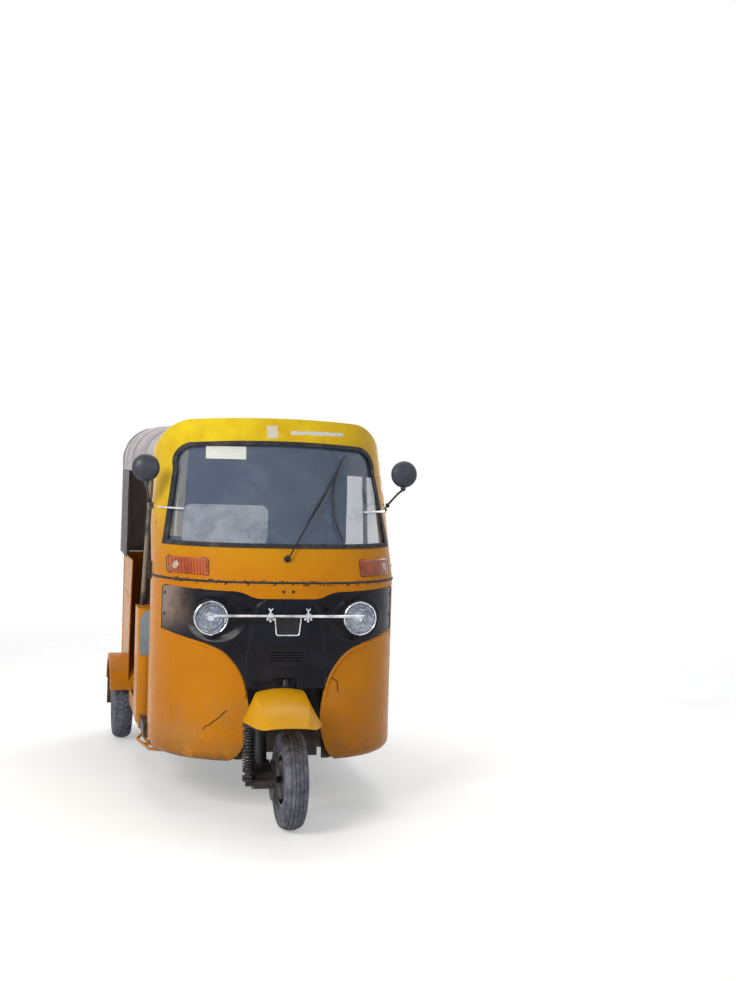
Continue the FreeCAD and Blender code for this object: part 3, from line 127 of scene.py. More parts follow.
class Shader:
    """A Principled material and short calls that build its nodes."""

    def __init__(self, name, **sockets):
        self.material = bpy.data.materials.new(name)
        self.material.use_nodes = True
        self.tree = self.material.node_tree
        self.tree.nodes.clear()
        self.out = self.tree.nodes.new("ShaderNodeOutputMaterial")
        self.bsdf = self.tree.nodes.new("ShaderNodeBsdfPrincipled")
        self.tree.links.new(self.bsdf.outputs[0], self.out.inputs[0])
        for socket, value in sockets.items():
            self.bsdf.inputs[socket.replace("_", " ")].default_value = value
        self.coords = self.tree.nodes.new("ShaderNodeTexCoord").outputs["Object"]

    def put(self, target, value):
        if isinstance(value, bpy.types.NodeSocket):
            self.tree.links.new(value, target)
        else:
            target.default_value = value

    def set(self, socket, value):
        self.put(self.bsdf.inputs[socket], value)

    def scaled(self, scale):
        node = self.tree.nodes.new("ShaderNodeMapping")
        node.inputs["Scale"].default_value = scale
        self.tree.links.new(self.coords, node.inputs[0])
        return node.outputs[0]

    def noise(self, scale, detail=4, rough=0.6, coords=None, distortion=0.0):
        node = self.tree.nodes.new("ShaderNodeTexNoise")
        node.inputs["Scale"].default_value = scale
        node.inputs["Detail"].default_value = detail
        node.inputs["Roughness"].default_value = rough
        node.inputs["Distortion"].default_value = distortion
        self.tree.links.new(coords or self.coords, node.inputs["Vector"])
        return node.outputs["Fac"]

    def voronoi(self, scale, feature="F1", coords=None):
        node = self.tree.nodes.new("ShaderNodeTexVoronoi")
        node.feature = feature
        node.inputs["Scale"].default_value = scale
        self.tree.links.new(coords or self.coords, node.inputs["Vector"])
        return node.outputs["Distance"]

    def wave(self, scale, axis="X"):
        node = self.tree.nodes.new("ShaderNodeTexWave")
        node.bands_direction = axis
        node.wave_profile = "SIN"
        node.inputs["Scale"].default_value = scale
        node.inputs["Distortion"].default_value = 0.0
        self.tree.links.new(self.coords, node.inputs["Vector"])
        return node.outputs["Fac"]

    def axis(self, name, coords=None):
        node = self.tree.nodes.new("ShaderNodeSeparateXYZ")
        self.tree.links.new(coords or self.coords, node.inputs[0])
        return node.outputs[name]

    def normal_axis(self, name):
        geometry_node = self.tree.nodes.new("ShaderNodeNewGeometry")
        return self.axis(name, geometry_node.outputs["Normal"])

    def math(self, operation, *values):
        node = self.tree.nodes.new("ShaderNodeMath")
        node.operation = operation
        for target, value in zip(node.inputs, values):
            self.put(target, value)
        return node.outputs[0]

    def range(self, value, low, high, to_low=0.0, to_high=1.0):
        node = self.tree.nodes.new("ShaderNodeMapRange")
        node.interpolation_type = "SMOOTHSTEP"
        self.put(node.inputs["Value"], value)
        for socket, number in zip(("From Min", "From Max", "To Min", "To Max"), (low, high, to_low, to_high)):
            node.inputs[socket].default_value = number
        return node.outputs[0]

    def times(self, first, *others):
        for other in others:
            first = self.math("MULTIPLY", first, other)
        return first

    def band(self, value, low, high, soft):
        """1 where value lies between low and high, with soft edges."""
        rise = self.range(value, low - soft, low + soft)
        return self.times(rise, self.range(value, high - soft, high + soft, 1.0, 0.0))

    def rough(self, scale, detail, low, high):
        """Roughness that wanders between two values."""
        self.set("Roughness", self.range(self.noise(scale, detail), 0.3, 0.7, low, high))

    def mix(self, share, first, second):
        node = self.tree.nodes.new("ShaderNodeMix")
        node.data_type = "RGBA"
        self.put(node.inputs[0], share)
        for target, value in ((node.inputs[6], first), (node.inputs[7], second)):
            self.put(target, (*value, 1.0) if isinstance(value, tuple) else value)
        return node.outputs[2]

    def bump(self, height, distance, strength=1.0, after=None):
        node = self.tree.nodes.new("ShaderNodeBump")
        node.inputs["Distance"].default_value = distance
        node.inputs["Strength"].default_value = strength
        self.tree.links.new(height, node.inputs["Height"])
        if after is not None:
            self.tree.links.new(after, node.inputs["Normal"])
        return node.outputs[0]


def srgb(red, green, blue):
    """A colour given as 0 to 255 screen values, for shader sockets."""
    return tuple((c / 255 / 12.92) if c <= 10 else ((c / 255 + 0.055) / 1.055) ** 2.4
                 for c in (red, green, blue))


DUST = srgb(150, 128, 98)
MUD = srgb(92, 72, 50)


def dusty(s, colour, amount, low_z=0.25, high_z=0.75):
    """Colour with pale dust on upward faces and mud that fades out with height."""
    patches = s.range(s.noise(7.0, 6, 0.65), 0.42, 0.68)
    up = s.range(s.normal_axis("Z"), 0.35, 0.95)
    low = s.range(s.axis("Z"), low_z, high_z, 1.0, 0.0)
    fine = s.range(s.noise(60.0, 3), 0.35, 0.65)
    dust = s.times(s.math("MAXIMUM", s.times(up, 0.55), s.times(low, 0.8)), patches, amount)
    colour = s.mix(dust, colour, DUST)
    return s.mix(s.times(low, low, fine, 0.45 * amount), colour, MUD)


def paint(name, colour, deep, amount=0.5, painted_sun=None):
    """Glossy body paint: faded, streaked, scratched, dusty near the ground, and, if given a sunlit colour,
    lightened above by painted sunlight.
    """
    s = Shader(name, Coat_Weight=0.10, Coat_Roughness=0.1, Specular_IOR_Level=0.08)
    if painted_sun:
        # Painted sunlight: the colour turns to the sunlit one above z 0.98, most at negative x.
        painted_sun_share = s.times(s.range(s.axis("Z"), 0.98, 1.66), s.range(s.axis("X"), -0.1, 0.5, 1.0, 0.55))
        colour = s.mix(painted_sun_share, colour, painted_sun)
    fade = s.range(s.noise(2.3, 5, 0.6), 0.35, 0.7)
    streaks = s.range(s.noise(9.0, 4, 0.5, s.scaled((3.5, 3.5, 0.35))), 0.52, 0.75)
    tone = s.mix(s.times(fade, 0.55), colour, deep)
    tone = s.mix(s.times(streaks, 0.18), tone, deep)
    cells = s.voronoi(5.0, "DISTANCE_TO_EDGE", s.scaled((1.0, 0.6, 2.2)))
    scratch = s.range(cells, 0.0, 0.004, 1.0, 0.0)
    worn = s.times(scratch, s.range(s.noise(6.0, 3), 0.64, 0.70))
    tone = s.mix(s.times(worn, 0.3), tone, MUD)
    s.set("Base Color", dusty(s, tone, amount))
    grain = s.noise(26.0, 5, 0.6)
    s.set("Roughness", s.range(grain, 0.3, 0.72, 0.24, 0.46))
    ripple = s.bump(s.noise(3.2, 2, 0.4), 0.006, 0.35)
    s.set("Normal", s.bump(s.noise(420.0, 2, 0.5), 0.0002, 0.25, ripple))
    return s


BODY_YELLOW = srgb(206, 130, 10)
BODY_DEEP = srgb(184, 104, 6)
# Lighter yellow for the top of the body: a painted sunlit patch, not a paint colour.
PAINTED_SUN_YELLOW = srgb(244, 218, 36)
CHIPPED = srgb(52, 36, 28)


def body_paint():
    return paint("body_paint", BODY_YELLOW, BODY_DEEP, 0.5, PAINTED_SUN_YELLOW).material


def cowl_paint():
    """Body paint with chips along the seam, hairline cracks low on the cheeks and grime at their foot."""
    s = paint("cowl_paint", BODY_YELLOW, BODY_DEEP, 0.36)
    colour = s.bsdf.inputs["Base Color"].links[0].from_socket
    z = s.axis("Z")
    chips = s.times(s.band(z, 0.990, 1.02, 0.003), s.range(s.noise(60.0, 3), 0.56, 0.62))
    colour = s.mix(chips, colour, CHIPPED)
    edge_wear = s.times(s.band(z, 0.240, 0.252, 0.004), s.range(s.noise(34.0, 4), 0.45, 0.6))
    colour = s.mix(s.times(edge_wear, 0.7), colour, CHIPPED)
    foot = s.times(s.range(z, 0.24, 0.36, 1.0, 0.0), s.range(s.noise(16.0, 4), 0.3, 0.6))
    colour = s.mix(s.times(foot, 0.45), colour, MUD)
    s.set("Base Color", colour)
    return s.material


def band_paint():
    """Body paint of the screen frame, with two torn pale patches on the top band and chips near the seam."""
    s = paint("band_paint", BODY_YELLOW, BODY_DEEP, 0.25, PAINTED_SUN_YELLOW)
    colour = s.bsdf.inputs["Base Color"].links[0].from_socket
    x, z = s.axis("X"), s.axis("Z")
    wander = s.math("MULTIPLY", s.math("SUBTRACT", s.noise(26.0, 5, 0.7), 0.5), 0.022)
    x_torn, z_torn = s.math("ADD", x, wander), s.math("ADD", z, wander)
    long_patch = s.times(s.band(x_torn, 0.055, 0.305, 0.002), s.band(z_torn, 1.634, 1.650, 0.002))
    square_patch = s.times(s.band(x_torn, -0.052, -0.004, 0.002), s.band(z_torn, 1.618, 1.672, 0.002), 0.8)
    colour = s.mix(s.math("MAXIMUM", long_patch, square_patch), colour, srgb(214, 214, 206))
    chips = s.times(s.band(z, 1.0, 1.012, 0.003), s.range(s.noise(60.0, 3), 0.55, 0.61))
    colour = s.mix(chips, colour, CHIPPED)
    sides = s.math("MAXIMUM", s.range(x, 0.505, 0.525), s.range(x, -0.525, -0.505, 1.0, 0.0))
    rubbed = s.times(sides, s.range(s.noise(38.0, 5, 0.7), 0.61, 0.67))
    s.set("Base Color", s.mix(s.times(rubbed, 0.75), colour, CHIPPED))
    return s.material


def fascia_plastic():
    """Dark moulded plastic, glossy where it was wiped and dull with dust along its foot, with a painted pale
    brown reflection at its sides.
    """
    s = Shader("fascia_plastic", Specular_IOR_Level=0.14, Coat_Weight=0.05, Coat_Roughness=0.1)
    smears = s.range(s.noise(4.0, 5, 0.65, s.scaled((1.0, 1.0, 2.6))), 0.4, 0.75)
    tone = s.mix(s.times(smears, 0.5), srgb(8, 8, 18), srgb(34, 36, 54))
    x = s.axis("X")
    # Painted reflection: a pale brown sheen beside the outer lamps, strong at negative x and weak at positive x,
    # between z 0.74 and 0.88.
    painted_sheen = s.math("MAXIMUM", s.range(x, -0.50, -0.36, 1.0, 0.0), s.times(s.range(x, 0.44, 0.53), 0.25))
    painted_sheen = s.times(painted_sheen, s.range(s.axis("Z"), 0.74, 0.88), s.range(s.noise(5.0, 4), 0.25, 0.6))
    tone = s.mix(s.times(painted_sheen, 0.92), tone, srgb(146, 126, 116))
    s.set("Base Color", dusty(s, tone, 0.06, 0.5, 0.9))
    s.set("Roughness", s.range(smears, 0.0, 1.0, 0.24, 0.46))
    s.set("Normal", s.bump(s.noise(900.0, 2), 0.0002, 0.2))
    return s.material


def plastic(name, colour, second, roughness=(0.45, 0.7), grain=520.0):
    s = Shader(name, Specular_IOR_Level=0.35)
    s.set("Base Color", dusty(s, s.mix(s.range(s.noise(8.0, 4), 0.4, 0.7), colour, second), 0.25))
    s.rough(30.0, 3, *roughness)
    s.set("Normal", s.bump(s.noise(grain, 2), 0.0004, 0.35))
    return s.material


def black_paint(name="black_paint", colour=srgb(28, 28, 30), amount=0.6):
    s = Shader(name, Coat_Weight=0.1, Coat_Roughness=0.3, Specular_IOR_Level=0.35)
    tone = s.mix(s.range(s.noise(12.0, 5), 0.45, 0.7), colour, srgb(42, 40, 40))
    rust = s.range(s.noise(22.0, 6, 0.7), 0.64, 0.72)
    tone = s.mix(s.times(rust, 0.6), tone, srgb(96, 56, 34))
    s.set("Base Color", dusty(s, tone, amount, 0.1, 0.6))
    s.rough(30.0, 4, 0.38, 0.68)
    s.set("Normal", s.bump(s.noise(260.0, 4), 0.0006, 0.3))
    return s.material


def metal(name, colour, roughness, tarnish, streak=(1, 1, 1), rust_share=0.0):
    s = Shader(name, Metallic=1.0)
    tone = s.mix(s.range(s.noise(18.0, 5), 0.42, 0.72), colour, tarnish)
    if rust_share:
        rust = s.range(s.noise(30.0, 6, 0.7), 0.6, 0.7)
        tone = s.mix(s.times(rust, rust_share), tone, srgb(104, 62, 38))
    s.set("Base Color", tone)
    s.set("Roughness", s.range(s.noise(90.0, 3, 0.5, s.scaled(streak)), 0.3, 0.7, *roughness))
    s.set("Normal", s.bump(s.noise(500.0, 2, 0.5, s.scaled(streak)), 0.0002, 0.2))
    return s.material


def lens(name, colour, deep, ribs):
    """Coloured moulded lens with fine vertical ribs."""
    s = Shader(name, Coat_Weight=0.22, Coat_Roughness=0.06, Specular_IOR_Level=0.25,
               Subsurface_Weight=0.05, Subsurface_Scale=0.01)
    rib = s.wave(ribs, "X")
    tone = s.mix(s.times(rib, s.range(s.noise(9.0, 3), 0.3, 0.6)), deep, colour)
    s.set("Base Color", s.mix(s.times(s.range(s.noise(12.0, 4), 0.5, 0.7), 0.3), tone, DUST))
    s.rough(40.0, 3, 0.12, 0.28)
    s.set("Normal", s.bump(rib, 0.0012, 0.5))
    return s.material


def see_through(name, colour, alpha, haze, roughness=(0.04, 0.14)):
    """Glass or clear sheet: how much shows through changes with its dust and smears."""
    s = Shader(name, Coat_Weight=1.0, Coat_Roughness=0.03, Specular_IOR_Level=0.6)
    smear = s.range(s.noise(5.0, 6, 0.7), 0.4, 0.72)
    s.set("Base Color", s.mix(s.times(smear, 0.5), colour, haze))
    s.set("Alpha", s.range(smear, 0.0, 1.0, alpha[0], alpha[1]))
    s.rough(18.0, 4, *roughness)
    s.set("Normal", s.bump(s.noise(6.0, 2), 0.004, 0.12))
    return s.material


def rubber(name, colour, dust=0.5):
    s = Shader(name, Specular_IOR_Level=0.35)
    tone = s.mix(s.range(s.noise(20.0, 5), 0.4, 0.7), colour, srgb(62, 60, 58))
    s.set("Base Color", dusty(s, tone, dust))
    s.rough(50.0, 3, 0.55, 0.85)
    s.set("Normal", s.bump(s.noise(300.0, 3), 0.0005, 0.35))
    return s.material


def tyre_rubber():
    """Rubber mottled with grey road dust, with paler patches and fine dark grit."""
    s = Shader("tyre", Specular_IOR_Level=0.3)
    wear = s.range(s.noise(34.0, 6, 0.7), 0.35, 0.68)
    tone = s.mix(wear, srgb(74, 76, 88), srgb(120, 122, 134))
    tone = s.mix(s.times(s.range(s.noise(9.0, 5), 0.45, 0.7), 0.4), tone, srgb(136, 132, 132))
    grit = s.range(s.noise(210.0, 4, 0.7), 0.56, 0.64)
    s.set("Base Color", s.mix(s.times(grit, 0.6), tone, srgb(38, 38, 42)))
    s.rough(80.0, 3, 0.72, 0.92)
    s.set("Normal", s.bump(s.noise(240.0, 5, 0.7), 0.0016, 0.6))
    return s.material


def vinyl(name, colour, second, roughness, weave=0.0, fold_scale=6.0, dust=0.3):
    """Coated fabric: leather grain, creases, and wear in the colour."""
    s = Shader(name, Sheen_Weight=0.15, Sheen_Roughness=0.4)
    tone = s.mix(s.range(s.noise(5.0, 6, 0.65), 0.38, 0.7), colour, second)
    cracks = s.range(s.voronoi(38.0, "DISTANCE_TO_EDGE"), 0.0, 0.03, 1.0, 0.0)
    tone = s.mix(s.times(cracks, s.range(s.noise(7.0, 4), 0.5, 0.7), 0.35), tone, MUD)
    s.set("Base Color", dusty(s, tone, dust, 0.2, 0.6))
    s.rough(24.0, 4, *roughness)
    grain = s.bump(s.voronoi(420.0, "DISTANCE_TO_EDGE"), 0.0006, 0.45)
    if weave:
        cloth = s.math("MULTIPLY", s.wave(weave, "X"), s.wave(weave, "Z"))
        grain = s.bump(cloth, 0.0005, 0.4, grain)
    s.set("Normal", s.bump(s.noise(fold_scale, 4, 0.5, distortion=0.4), 0.006, 0.3, grain))
    return s.material


def lamp_reflector():
    """Silvering with painted reflections, brighter and darker from facet to facet."""
    s = Shader("lamp_reflector", Metallic=1.0)
    # Painted reflections: each facet's colour is set lighter or darker, as its glint would be.
    painted_facet_glints = s.range(s.voronoi(52.0, "F1"), 0.15, 0.7)
    tone = s.mix(painted_facet_glints, srgb(253, 254, 255), srgb(186, 193, 206))
    cloudy = s.times(s.range(s.noise(34.0, 4), 0.48, 0.62), 0.45)
    s.set("Base Color", s.mix(cloudy, tone, srgb(112, 120, 138)))
    s.rough(60.0, 3, 0.10, 0.22)
    s.set("Normal", s.bump(s.voronoi(52.0, "F1"), 0.006, 0.7))
    return s.material


MATERIALS = {
    "body_paint": body_paint(),
    "mudguard_paint": paint("mudguard_paint", srgb(216, 156, 10), srgb(202, 138, 8), 0.2).material,
    "black_paint": black_paint("black_paint", srgb(20, 20, 22), 0.4),
    "wheel_paint": black_paint("wheel_paint", srgb(112, 112, 118), 0.5),
    "fascia_plastic": fascia_plastic(),
    "dark_plastic": plastic("dark_plastic", srgb(26, 26, 30), srgb(40, 40, 46)),
    "amber_lens": lens("amber_lens", srgb(214, 96, 26), srgb(140, 52, 18), 26.0),
    "red_lens": lens("red_lens", srgb(168, 22, 18), srgb(110, 10, 10), 30.0),
    "pale_plate": plastic("pale_plate", srgb(132, 144, 154), srgb(152, 162, 170), (0.3, 0.5), 300.0),
    "bright_metal": metal("bright_metal", srgb(224, 228, 236), (0.08, 0.22), srgb(160, 162, 170)),
    "lamp_reflector": lamp_reflector(),
    "lamp_glass": see_through("lamp_glass", srgb(206, 214, 224), (0.05, 0.14), srgb(226, 228, 228),
                              (0.03, 0.08)),
    # The windscreen's blue-grey colour and haze are a painted sky reflection.
    "screen_glass": see_through("screen_glass", srgb(78, 102, 136), (0.36, 0.46), srgb(122, 136, 154)),
    "clear_sheet": see_through("clear_sheet", srgb(206, 206, 196), (0.26, 0.5), srgb(190, 186, 172),
                               (0.12, 0.3)),
    "mirror": metal("mirror", srgb(232, 234, 236), (0.02, 0.06), srgb(206, 208, 210)),
    "seal_rubber": rubber("seal_rubber", srgb(24, 27, 36), 0.15),
    "grip_rubber": rubber("grip_rubber", srgb(24, 24, 26), 0.25),
    "tyre": tyre_rubber(),
    "steel": metal("steel", srgb(132, 132, 134), (0.35, 0.55), srgb(92, 88, 84), rust_share=0.55),
    "cast_alloy": metal("cast_alloy", srgb(150, 150, 150), (0.5, 0.7), srgb(104, 100, 96), rust_share=0.15),
    "seat_cover": vinyl("seat_cover", srgb(62, 44, 38), srgb(46, 32, 28), (0.35, 0.55)),
    # The roof cloth's light mauve-grey is a painted sky reflection; the side curtains show the same cloth
    # darker.
    "hood_fabric": vinyl("hood_fabric", srgb(160, 148, 152), srgb(136, 124, 130), (0.28, 0.45), fold_scale=4.0),
}
LINING = vinyl("hood_lining", srgb(62, 54, 60), srgb(48, 42, 46), (0.6, 0.85), weave=260.0, dust=0.1)
CURTAIN = vinyl("curtain_fabric", srgb(78, 68, 72), srgb(58, 50, 54), (0.5, 0.75), weave=220.0, dust=0.1)
FORK_PAINT = black_paint("fork_paint", srgb(15, 17, 24), 0.12)
TRIM_PALE = plastic("pale_trim", srgb(168, 164, 160), srgb(146, 142, 138), (0.35, 0.6))
POST_PAINT = black_paint("post_paint", srgb(138, 124, 108), 0.4)
STICKER = plastic("blank_sticker", srgb(226, 228, 220), srgb(200, 202, 194), (0.4, 0.6))
BULB_GLASS = see_through("bulb_glass", srgb(222, 216, 196), (0.3, 0.4), srgb(236, 232, 220))
CLEAR_LENS = lens("clear_lens", srgb(226, 212, 204), srgb(186, 164, 150), 30.0)
SPRING_STEEL = metal("spring_enamel", srgb(74, 74, 80), (0.22, 0.42), srgb(40, 38, 40), rust_share=0.2)
MUD_RUBBER = rubber("mudflap_rubber", srgb(34, 32, 30), 0.7)
CREAM_TRIM = plastic("cream_trim", srgb(240, 226, 186), srgb(216, 198, 156), (0.5, 0.7))
MIRROR_SHELL = plastic("mirror_shell", srgb(56, 59, 70), srgb(78, 80, 92), (0.35, 0.55))

for row in frame["record"]["subparts"]:
    mesh = frame["nodes"][row["node"]].data
    mesh.materials.clear()
    mesh.materials.append(MATERIALS[row["material_slot"]])
OWN_PAINT = {"front_cowl": cowl_paint(), "screen_frame": band_paint(), "hood_frame": POST_PAINT}
OWN_PAINT.update((node, FORK_PAINT) for node in ("steering_fork", "front_link", "front_damper"))
for node, material in OWN_PAINT.items():
    frame["nodes"][node].data.materials[0] = material


def body_of(node):
    """The CAD body that a node belongs to."""
    for name, nodes in frame["record"]["behaviour"]["bodies"].items():
        if node in nodes:
            return name


# Mesh building

class Build:
    """Collects vertices and faces, then becomes one piece."""

    def __init__(self):
        self.verts, self.faces, self.slots = [], [], []

    def add(self, verts, faces, slot=0):
        start = len(self.verts)
        self.verts += [tuple(v) for v in verts]
        self.faces += [tuple(start + i for i in face) for face in faces]
        self.slots += [slot] * len(faces)

    def tube(self, path, radius, sides=10, slot=0, closed=False, flat=1.0):
        """Round bar along a path, closed by caps unless the path is a loop; flat squeezes its second axis."""
        path = [Vector(p) for p in path]
        count = len(path)
        verts, faces = [], []
        side = None
        for i, point in enumerate(path):
            before = path[i - 1] if i or closed else point
            after = path[(i + 1) % count] if i < count - 1 or closed else point
            direction = (after - before).normalized()
            if side is None:
                side = direction.orthogonal().normalized()
            side = (side - direction * side.dot(direction)).normalized()
            up = direction.cross(side)
            for k in range(sides):
                angle = 2 * math.pi * k / sides
                verts.append(point + radius * (side * math.cos(angle) + up * math.sin(angle) * flat))
        rings = count if closed else count - 1
        for i in range(rings):
            for k in range(sides):
                a, b = i * sides + k, i * sides + (k + 1) % sides
                c, d = ((i + 1) % count) * sides + (k + 1) % sides, ((i + 1) % count) * sides + k
                faces.append((a, b, c, d))
        if not closed:
            faces.append(tuple(reversed(range(sides))))
            faces.append(tuple((count - 1) * sides + k for k in range(sides)))
        self.add(verts, faces, slot)

    def lathe(self, profile, centre, axis, segments=32, slot=0, closed=False):
        """Profile of (along, radius) turned about an axis through the centre."""
        axis = Vector(axis).normalized()
        side = axis.orthogonal().normalized()
        up = axis.cross(side)
        centre = Vector(centre)
        verts, faces = [], []
        angles = [2 * math.pi * k / segments for k in range(segments)]
        for along, radius in profile:
            verts += [centre + axis * along + radius * (side * math.cos(angle) + up * math.sin(angle))
                      for angle in angles]
        count = len(profile)
        for i in range(count if closed else count - 1):
            j = (i + 1) % count
            for k in range(segments):
                n = (k + 1) % segments
                faces.append((i * segments + k, i * segments + n, j * segments + n, j * segments + k))
        if not closed:
            faces.append(tuple(reversed(range(segments))))
            faces.append(tuple((count - 1) * segments + k for k in range(segments)))
        self.add(verts, faces, slot)

    def block(self, low, high, slot, bevel):
        """Block between two corners, with rounded edges."""
        x0, y0, z0 = low
        x1, y1, z1 = high
        mesh = bmesh.new()
        bmesh.ops.create_cube(mesh, size=1)
        for v in mesh.verts:
            v.co = Vector(((x0 + x1) / 2 + v.co.x * (x1 - x0), (y0 + y1) / 2 + v.co.y * (y1 - y0),
                           (z0 + z1) / 2 + v.co.z * (z1 - z0)))
        bmesh.ops.bevel(mesh, geom=mesh.edges[:], offset=bevel, segments=2, affect="EDGES", profile=0.6)
        mesh.verts.ensure_lookup_table()
        mesh.verts.index_update()
        self.add([v.co for v in mesh.verts], [[v.index for v in f.verts] for f in mesh.faces], slot)
        mesh.free()

    def grid(self, rows, slot=0):
        """Quads over rows of points of equal length."""
        width = len(rows[0])
        faces = [(r * width + c, r * width + c + 1, (r + 1) * width + c + 1, (r + 1) * width + c)
                 for r in range(len(rows) - 1) for c in range(width - 1)]
        self.add([p for row in rows for p in row], faces, slot)

    def shell(self, front, back_rows):
        """Two grids of the same size, joined along their edge."""
        start, height, width = len(self.verts), len(front), len(front[0])
        self.grid(front)
        self.grid(back_rows)
        edge = ([r * width for r in range(height)] + [(height - 1) * width + k for k in range(1, width)]
                + [r * width + width - 1 for r in range(height - 2, -1, -1)] + list(range(width - 2, 0, -1)))
        for a, b in zip(edge, edge[1:] + edge[:1]):
            a, b = start + a, start + b
            self.faces.append((a, b, b + height * width, a + height * width))
            self.slots.append(0)

    def bolt(self, centre, axis, radius, height=0.004, slot=0):
        """Hexagon head on a washer."""
        centre, axis = Vector(centre), Vector(axis).normalized()
        self.lathe([(0, radius * 1.45), (0.0012, radius * 1.45)], centre, axis, 18, slot)
        self.lathe([(0.0012, radius), (height * 0.8, radius), (height, radius * 0.82)], centre, axis, 6, slot)

    def screw(self, centre, axis, radius, slot=0):
        """Low domed head."""
        dome = [(0, radius), (radius * 0.25, radius * 0.92), (radius * 0.5, radius * 0.5),
                (radius * 0.55, 0.0004)]
        self.lathe(dome, centre, axis, 14, slot)

    def piece(self, name, slots, body, replaces=(), slot=None, sharp=35.0):
        mesh = bpy.data.meshes.new(name)
        mesh.from_pydata(self.verts, [], self.faces)
        mesh.polygons.foreach_set("material_index", self.slots)
        for s in slots:
            mesh.materials.append(MATERIALS[s] if isinstance(s, str) else s)
        tidy_normals(mesh)
        named = slots[0] if isinstance(slots[0], str) else None
        return placed(name, mesh, body, replaces, slot or named, sharp)


def tidy_normals(mesh):
    work = bmesh.new()
    work.from_mesh(mesh)
    bmesh.ops.remove_doubles(work, verts=work.verts, dist=1e-6)
    bmesh.ops.recalc_face_normals(work, faces=work.faces)
    work.to_mesh(mesh)
    work.free()


def placed(name, mesh, body, replaces=(), slot=None, sharp=35.0):
    mesh.name = name
    mesh.shade_smooth()
    mesh.set_sharp_from_angle(angle=math.radians(sharp))
    piece = bpy.data.objects.new(name, mesh)
    bpy.context.scene.collection.objects.link(piece)
    if body:
        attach(piece, body)
    if replaces:
        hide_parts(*replaces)
    return piece


def with_modifiers(piece, sharp=35.0):
    """Writes the piece's modifiers into its mesh."""
    bpy.context.view_layer.update()
    made = bpy.data.meshes.new_from_object(piece.evaluated_get(bpy.context.evaluated_depsgraph_get()))
    piece.modifiers.clear()
    piece.data = made
    made.shade_smooth()
    made.set_sharp_from_angle(angle=math.radians(sharp))
    return piece


def inside(point, polygon):
    x, z = point
    hit = False
    for (ax, az), (bx, bz) in zip(polygon, polygon[1:] + polygon[:1]):
        if (az > z) != (bz > z) and x < (bx - ax) * (z - az) / (bz - az) + ax:
            hit = not hit
    return hit


def near_line(point, polygon, reach):
    p = Vector(point)
    for a, b in zip(polygon, polygon[1:] + polygon[:1]):
        a, b = Vector(a), Vector(b)
        t = min(max((p - a).dot(b - a) / max((b - a).length_squared, 1e-12), 0), 1)
        if (p - a - (b - a) * t).length < reach:
            return True
    return False


def panel(outline, holes, step, place):
    """Triangles that fill an outline with holes cut out, each point put in space by place."""
    loops = [outline] + holes
    verts, edges = [], []
    for loop in loops:
        start = len(verts)
        verts += [Vector(p) for p in loop]
        edges += [(start + i, start + (i + 1) % len(loop)) for i in range(len(loop))]
    xs, zs = [p[0] for p in outline], [p[1] for p in outline]
    columns, rows = int((max(xs) - min(xs)) / step) + 1, int((max(zs) - min(zs)) / step) + 1
    for i in range(columns + 1):
        for j in range(rows + 1):
            point = (min(xs) + (i + 0.5 * (j % 2)) * step, min(zs) + j * step)
            if not inside(point, outline) or any(inside(point, hole) for hole in holes):
                continue
            if any(near_line(point, loop, step * 0.45) for loop in loops):
                continue
            verts.append(Vector(point))
    out_verts, _, out_faces, *_ = geometry.delaunay_2d_cdt(verts, edges, [], 1, 1e-6)
    faces = []
    for face in out_faces:
        middle = sum((out_verts[i] for i in face), Vector((0, 0))) / len(face)
        if inside(middle, outline) and not any(inside(middle, hole) for hole in holes):
            faces.append(face)
    return [place(v.x, v.y) for v in out_verts], faces


def solid_panel(name, made, thickness, slots, body, replaces=(), sharp=40.0):
    """A panel with real thickness behind its front face."""
    verts, faces = made
    mesh = bpy.data.meshes.new(name)
    mesh.from_pydata([tuple(v) for v in verts], [], faces)
    for s in slots:
        mesh.materials.append(MATERIALS[s] if isinstance(s, str) else s)
    work = bmesh.new()
    work.from_mesh(mesh)
    loose = [v for v in work.verts if not v.link_faces]
    bmesh.ops.delete(work, geom=loose, context="VERTS")
    bmesh.ops.recalc_face_normals(work, faces=work.faces)
    if sum(f.normal.y for f in work.faces) > 0:
        bmesh.ops.reverse_faces(work, faces=work.faces)
    work.to_mesh(mesh)
    work.free()
    piece = placed(name, mesh, None, (), slots[0] if isinstance(slots[0], str) else None, sharp)
    solidify = piece.modifiers.new("wall", "SOLIDIFY")
    solidify.thickness = thickness
    solidify.offset = -1
    with_modifiers(piece, sharp)
    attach(piece, body)
    if replaces:
        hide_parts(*replaces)
    return piece


def circle(centre, radius, count=72):
    angles = [2 * math.pi * i / count for i in range(count)]
    return [(centre[0] + radius * math.cos(angle), centre[1] + radius * math.sin(angle)) for angle in angles]


# Front fascia and lamps

CHEEK_ARC = (arc((0.162, 0.520), (0.180, 0.600), (0.222, 0.668), 12)
             + arc((0.222, 0.668), (0.268, 0.712), (0.330, 0.738), 10)[1:])
FASCIA_BROW = ([(0.507, 0.782)] + arc((0.507, 0.955), (0.502, 0.968), (0.489, 0.973), 5) + [(0.363, 0.967)]
               + arc((0.230, 0.963), (0.190, 0.957), (0.160, 0.944), 8)
               + arc((0.160, 0.944), (0.132, 0.936), (0.100, 0.934), 6)[1:])
FASCIA_TOP = 0.934
FASCIA_FOOT = 0.556
FOOT_HALF = 0.1675
NOTCH_HALF = 0.044
NOTCH_TOP = 0.603
FASCIA_PROUD = 0.004
LAMP_HOLE = 0.0733
SCOOP_CENTRE = (0.300, 0.846)
SCOOP_HALF = (0.126, 0.100)
